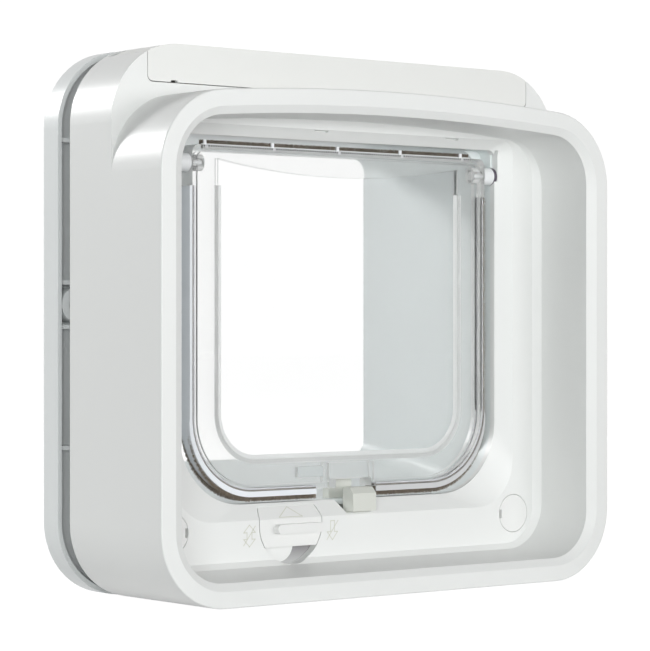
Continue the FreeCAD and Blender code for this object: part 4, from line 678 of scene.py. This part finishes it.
channel_clear, channel_tree, channel_shader, channel_place = fresh_material("ribbed_channel")
channel_shader.inputs["Roughness"].default_value = 0.2
ribs = channel_tree.nodes.new("ShaderNodeTexWave")
ribs.inputs["Scale"].default_value = ROOT_PITCH
ribs.inputs["Distortion"].default_value = 0.6
channel_split = channel_tree.nodes.new("ShaderNodeSeparateXYZ")
at_root = channel_tree.nodes.new("ShaderNodeMath")
at_root.operation = "COMPARE"
at_root.inputs[1].default_value = ROOT_HEIGHT * MM
at_root.inputs[2].default_value = ROOT_HALF * MM
rib_dark = channel_tree.nodes.new("ShaderNodeMath")
rib_dark.operation = "MULTIPLY"
channel_tree.links.new(channel_place, ribs.inputs["Vector"])
channel_tree.links.new(channel_place, channel_split.inputs[0])
channel_tree.links.new(channel_split.outputs["Z"], at_root.inputs[0])
channel_tree.links.new(ribs.outputs["Fac"], rib_dark.inputs[0])
channel_tree.links.new(at_root.outputs[0], rib_dark.inputs[1])
blend_colour(channel_tree, channel_shader, rib_dark.outputs[0], (0.64, 0.65, 0.65), (0.03, 0.03, 0.04))

clip_white = moulded_plastic("clip_white", (0.86, 0.86, 0.88), 0.3, 0.1)
block("top_channel", (-CHANNEL_HALF, CHANNEL_FACE, CHANNEL_LOW),
      (CHANNEL_HALF, pile_face - CHANNEL_GAP, CHANNEL_HIGH), channel_clear, "swinging_set")
for number in range(CLIP_COUNT):
    clip_middle = CLIP_START + CLIP_PITCH * number
    block(f"top_clip_{number + 1}", (clip_middle - CLIP_HALF, CHANNEL_FACE - CLIP_PROUD, CLIP_LOW),
          (clip_middle + CLIP_HALF, pile_face - CLIP_GAP, CLIP_HIGH), clip_white,
          "swinging_set")


# The hinge pins are natural nylon and sit in seats that the housing and the tunnel share. The
# flap's ears turn on them. A dark band round each outer end is painted shade for the open end of the seat.

SEAT_SHADE_START = 74.6 * MM
NYLON = (0.82, 0.83, 0.84)
SEAT_SHADE_DARK = (0.1, 0.08, 0.11)


def banded_material(name, plain, band, start, towards, metallic, roughness):
    """Two tones along X: the band begins at start and runs towards +X or -X."""
    material, tree, shader, place = fresh_material(name)
    shader.inputs["Metallic"].default_value = metallic
    shader.inputs["Roughness"].default_value = roughness
    split = tree.nodes.new("ShaderNodeSeparateXYZ")
    past = tree.nodes.new("ShaderNodeMath")
    past.operation = "GREATER_THAN" if towards > 0 else "LESS_THAN"
    past.inputs[1].default_value = start
    tree.links.new(place, split.inputs[0])
    tree.links.new(split.outputs["X"], past.inputs[0])
    blend_colour(tree, shader, past.outputs[0], plain, band)
    return material


# The dark band at each pin's outer end is painted shade for the seat's open end.
for name, side in (("hinge_pin_left", -1), ("hinge_pin_right", 1)):
    finish_node(name, banded_material(name + "_nylon", NYLON, SEAT_SHADE_DARK,
                                      side * SEAT_SHADE_START, side, 0, 0.3))


# The latches are warm grey blades that slide up from the sill to hold the flap. Each is lifted
# by a nylon cam on the shaft of a small gear motor in a steel case.

latch_grey = moulded_plastic("latch_grey", (0.7, 0.71, 0.66), 0.42, 0.3)
cam_natural = moulded_plastic("cam_nylon", (0.72, 0.71, 0.66), 0.4, 0.2)
motor_steel = drawn_metal("motor_steel", (0.62, 0.62, 0.62), 0.35)
for row in ("front", "rear"):
    finish_node(f"{row}_latch", latch_grey)
    finish_node(f"latch_cam_{row}", cam_natural)
    finish_node(f"latch_motor_{row}", motor_steel)


# The knob, the screw caps and the battery cover are moulded in the housing's white. The knob
# turns in a well of the fascia, and the caps snap into round recesses beside it.

knob_white = moulded_plastic("knob_white", (0.85, 0.85, 0.84), 0.36, 0.2)
cover_white = moulded_plastic("cover_white", (0.85, 0.85, 0.83), 0.36, 0.25)
for name in ("lock_knob", "screw_cap_left", "screw_cap_right"):
    finish_node(name, knob_white)
finish_node("battery_cover", cover_white)


# The clip on the knob's shaft and the pins of the battery cover are spring steel, and the four
# long screws that clamp both frames to the door are zinc plated.

spring_steel = drawn_metal("spring_steel", (0.55, 0.56, 0.57), 0.3)
for name in ("knob_clip", "cover_pin_left", "cover_pin_right"):
    finish_node(name, spring_steel)
finish_node("fixing_screws", drawn_metal("zinc_plate", (0.62, 0.62, 0.6), 0.35))


# Below the knob its well is hollow on the right, where the stop travels. A thin grey sheet on the
# well's floor there is painted shade for that deeper hollow, darkest under the knob's flat edge. Lengths
# here are in mm.

KNOB_MIDDLE = (-28.2, 25.2)
KNOB_FLAT = 16.95
WELL_RADIUS = 14.5
WELL_FLOOR = -22.7
LOBE_MIDDLE = (-31.26, 17.7)
LOBE_RADIUS = 6.4
MEETING_ANGLE = -112.2
SHADE_SHEET_LIFT = 0.06
SHADE_SHEET_THICK = 0.1
SHADE_LOW = 11
SHADE_HIGH = 16.5


def arc(middle, radius, start, end, steps):
    """Points in mm on an arc between two angles in degrees."""
    turns = [math.radians(start + (end - start) * step / steps) for step in range(steps + 1)]
    return [(middle[0] + radius * math.cos(turn), middle[1] + radius * math.sin(turn)) for turn in turns]


def angle_at(middle, radius, height):
    """The angle in degrees, below the middle on its right, at which an arc is at a height."""
    return -math.degrees(math.asin((middle[1] - height) / radius))


painted_hollow_shade, hollow_tree, hollow_shader, hollow_place = fresh_material("painted_hollow_shade")
hollow_shader.inputs["Roughness"].default_value = 0.6
hollow_split = hollow_tree.nodes.new("ShaderNodeSeparateXYZ")
hollow_shade_height = hollow_tree.nodes.new("ShaderNodeMapRange")
hollow_shade_height.inputs["From Min"].default_value = SHADE_LOW * MM
hollow_shade_height.inputs["From Max"].default_value = SHADE_HIGH * MM
hollow_tree.links.new(hollow_place, hollow_split.inputs[0])
hollow_tree.links.new(hollow_split.outputs["Z"], hollow_shade_height.inputs["Value"])
# Painted shade: the sheet darkens towards the top, under the knob's flat edge.
blend_colour(hollow_tree, hollow_shader, hollow_shade_height.outputs["Result"],
             (0.52, 0.52, 0.52), (0.24, 0.23, 0.24))

lobe_edge = arc(LOBE_MIDDLE, LOBE_RADIUS, angle_at(LOBE_MIDDLE, LOBE_RADIUS, KNOB_FLAT), MEETING_ANGLE, 16)
well_edge = arc(KNOB_MIDDLE, WELL_RADIUS, MEETING_ANGLE, angle_at(KNOB_MIDDLE, WELL_RADIUS, KNOB_FLAT), 24)
hollow = lobe_edge + well_edge[1:]
count = len(hollow)
shade_sheet_face = WELL_FLOOR - SHADE_SHEET_LIFT
shade_sheet_verts = [Vector((x, depth, z)) * MM for depth in (shade_sheet_face, shade_sheet_face + SHADE_SHEET_THICK)
                for x, z in hollow]
shade_sheet_faces = [tuple(range(count)), tuple(reversed(range(count, 2 * count)))]
shade_sheet_faces += [(k, k + count, (k + 1) % count + count, (k + 1) % count) for k in range(count)]
# The grey sheet is painted shade, laid on the well's floor.
rigid_piece("knob_hollow_shade", plain_mesh("knob_hollow_shade", shade_sheet_verts, shade_sheet_faces, painted_hollow_shade),
            "fixed_set")


# Four cells with a plain dark sleeve and a copper-coloured band at the raised end lie in the
# battery bay, two on each side, between contact leaves of nickel-plated spring strip.

BAND = 14 * MM
SLEEVE_DARK = (0.12, 0.13, 0.15)
BAND_COPPER = (0.5, 0.27, 0.12)
for name, towards in (("battery_1", -1), ("battery_2", -1), ("battery_3", 1), ("battery_4", 1)):
    low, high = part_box(name)
    start = high.x - BAND if towards > 0 else low.x + BAND
    finish_node(name, banded_material(name + "_sleeve", SLEEVE_DARK, BAND_COPPER, start, towards, 0.6, 0.3))
finish_node("battery_contacts", drawn_metal("nickel_leaf", (0.7, 0.69, 0.66), 0.25))


# The learn button is a grey moulding in a bore between the cells, and presses on the green
# circuit board behind it.

finish_node("learn_button", moulded_plastic("button_grey", (0.3, 0.31, 0.32), 0.5, 0.3))
finish_node("control_board", moulded_plastic("board_green", (0.04, 0.2, 0.1), 0.3, 0.5, 0.3))


# Marks printed in thin pale olive lines: a triangle on the knob's sloping facet, which points
# at the way that is open, and a crossed arrow on each side of the knob. Strokes are in mm.

INK = 0.04 * MM
LINE = 0.28 * MM
FASCIA = -26 * MM
RIGHT = (1, 0, 0)
UPRIGHT = (0, 0, 1)
FACET_SLOPE = (0, 4, 5.6)
olive_ink = moulded_plastic("olive_ink", (0.68, 0.68, 0.6), 0.5, 0.1)


def printed(name, strokes, origin, along, up, body):
    """Draws strokes as raised ink. A stroke is a list of points in mm on the plane along, up."""
    along, up = Vector(along).normalized(), Vector(up).normalized()
    out = along.cross(up).normalized()
    verts, faces = [], []
    for stroke in strokes:
        for start, end in zip(stroke, stroke[1:]):
            a, b = Vector(start) * MM, Vector(end) * MM
            run = (b - a).normalized()
            side = Vector((-run.y, run.x)) * LINE / 2
            a, b = a - run * LINE / 2, b + run * LINE / 2
            k = len(verts)
            for lift in (-INK, INK):
                for corner in (a - side, b - side, b + side, a + side):
                    verts.append(Vector(origin) + along * corner.x + up * corner.y + out * lift)
            faces += [(k + 3, k + 2, k + 1, k), (k + 4, k + 5, k + 6, k + 7)]
            faces += [(k + i, k + (i + 1) % 4, k + 4 + (i + 1) % 4, k + 4 + i) for i in range(4)]
    rigid_piece(name, plain_mesh(name, verts, faces, olive_ink), body)


triangle = [(-5.3, 0.6), (5.3, 0.6), (0, 4.9), (-5.3, 0.6)]
slash = [(-2.6, -3.4), (2.6, 3.4)]
two_heads = [(0, 3.9), (2.6, 1.2), (1.1, 1.2), (1.1, -1.2), (2.6, -1.2), (0, -3.9), (-2.6, -1.2),
             (-1.1, -1.2), (-1.1, 1.2), (-2.6, 1.2), (0, 3.9)]
one_head = [(-0.9, 3.4), (-0.9, -0.6), (-2.4, -0.6), (0, -3.6), (2.4, -0.6), (0.9, -0.6), (0.9, 3.4),
            (-0.9, 3.4)]
printed("open_way_mark", [triangle], (-28 * MM, FASCIA, 27.2 * MM), RIGHT, FACET_SLOPE,
        "knob_set")
printed("way_out_mark", [two_heads, slash], (-47 * MM, FASCIA, 21.7 * MM), RIGHT, UPRIGHT,
        "fixed_set")
printed("way_in_mark", [one_head, slash], (-8.9 * MM, FASCIA, 22 * MM), RIGHT, UPRIGHT,
        "fixed_set")
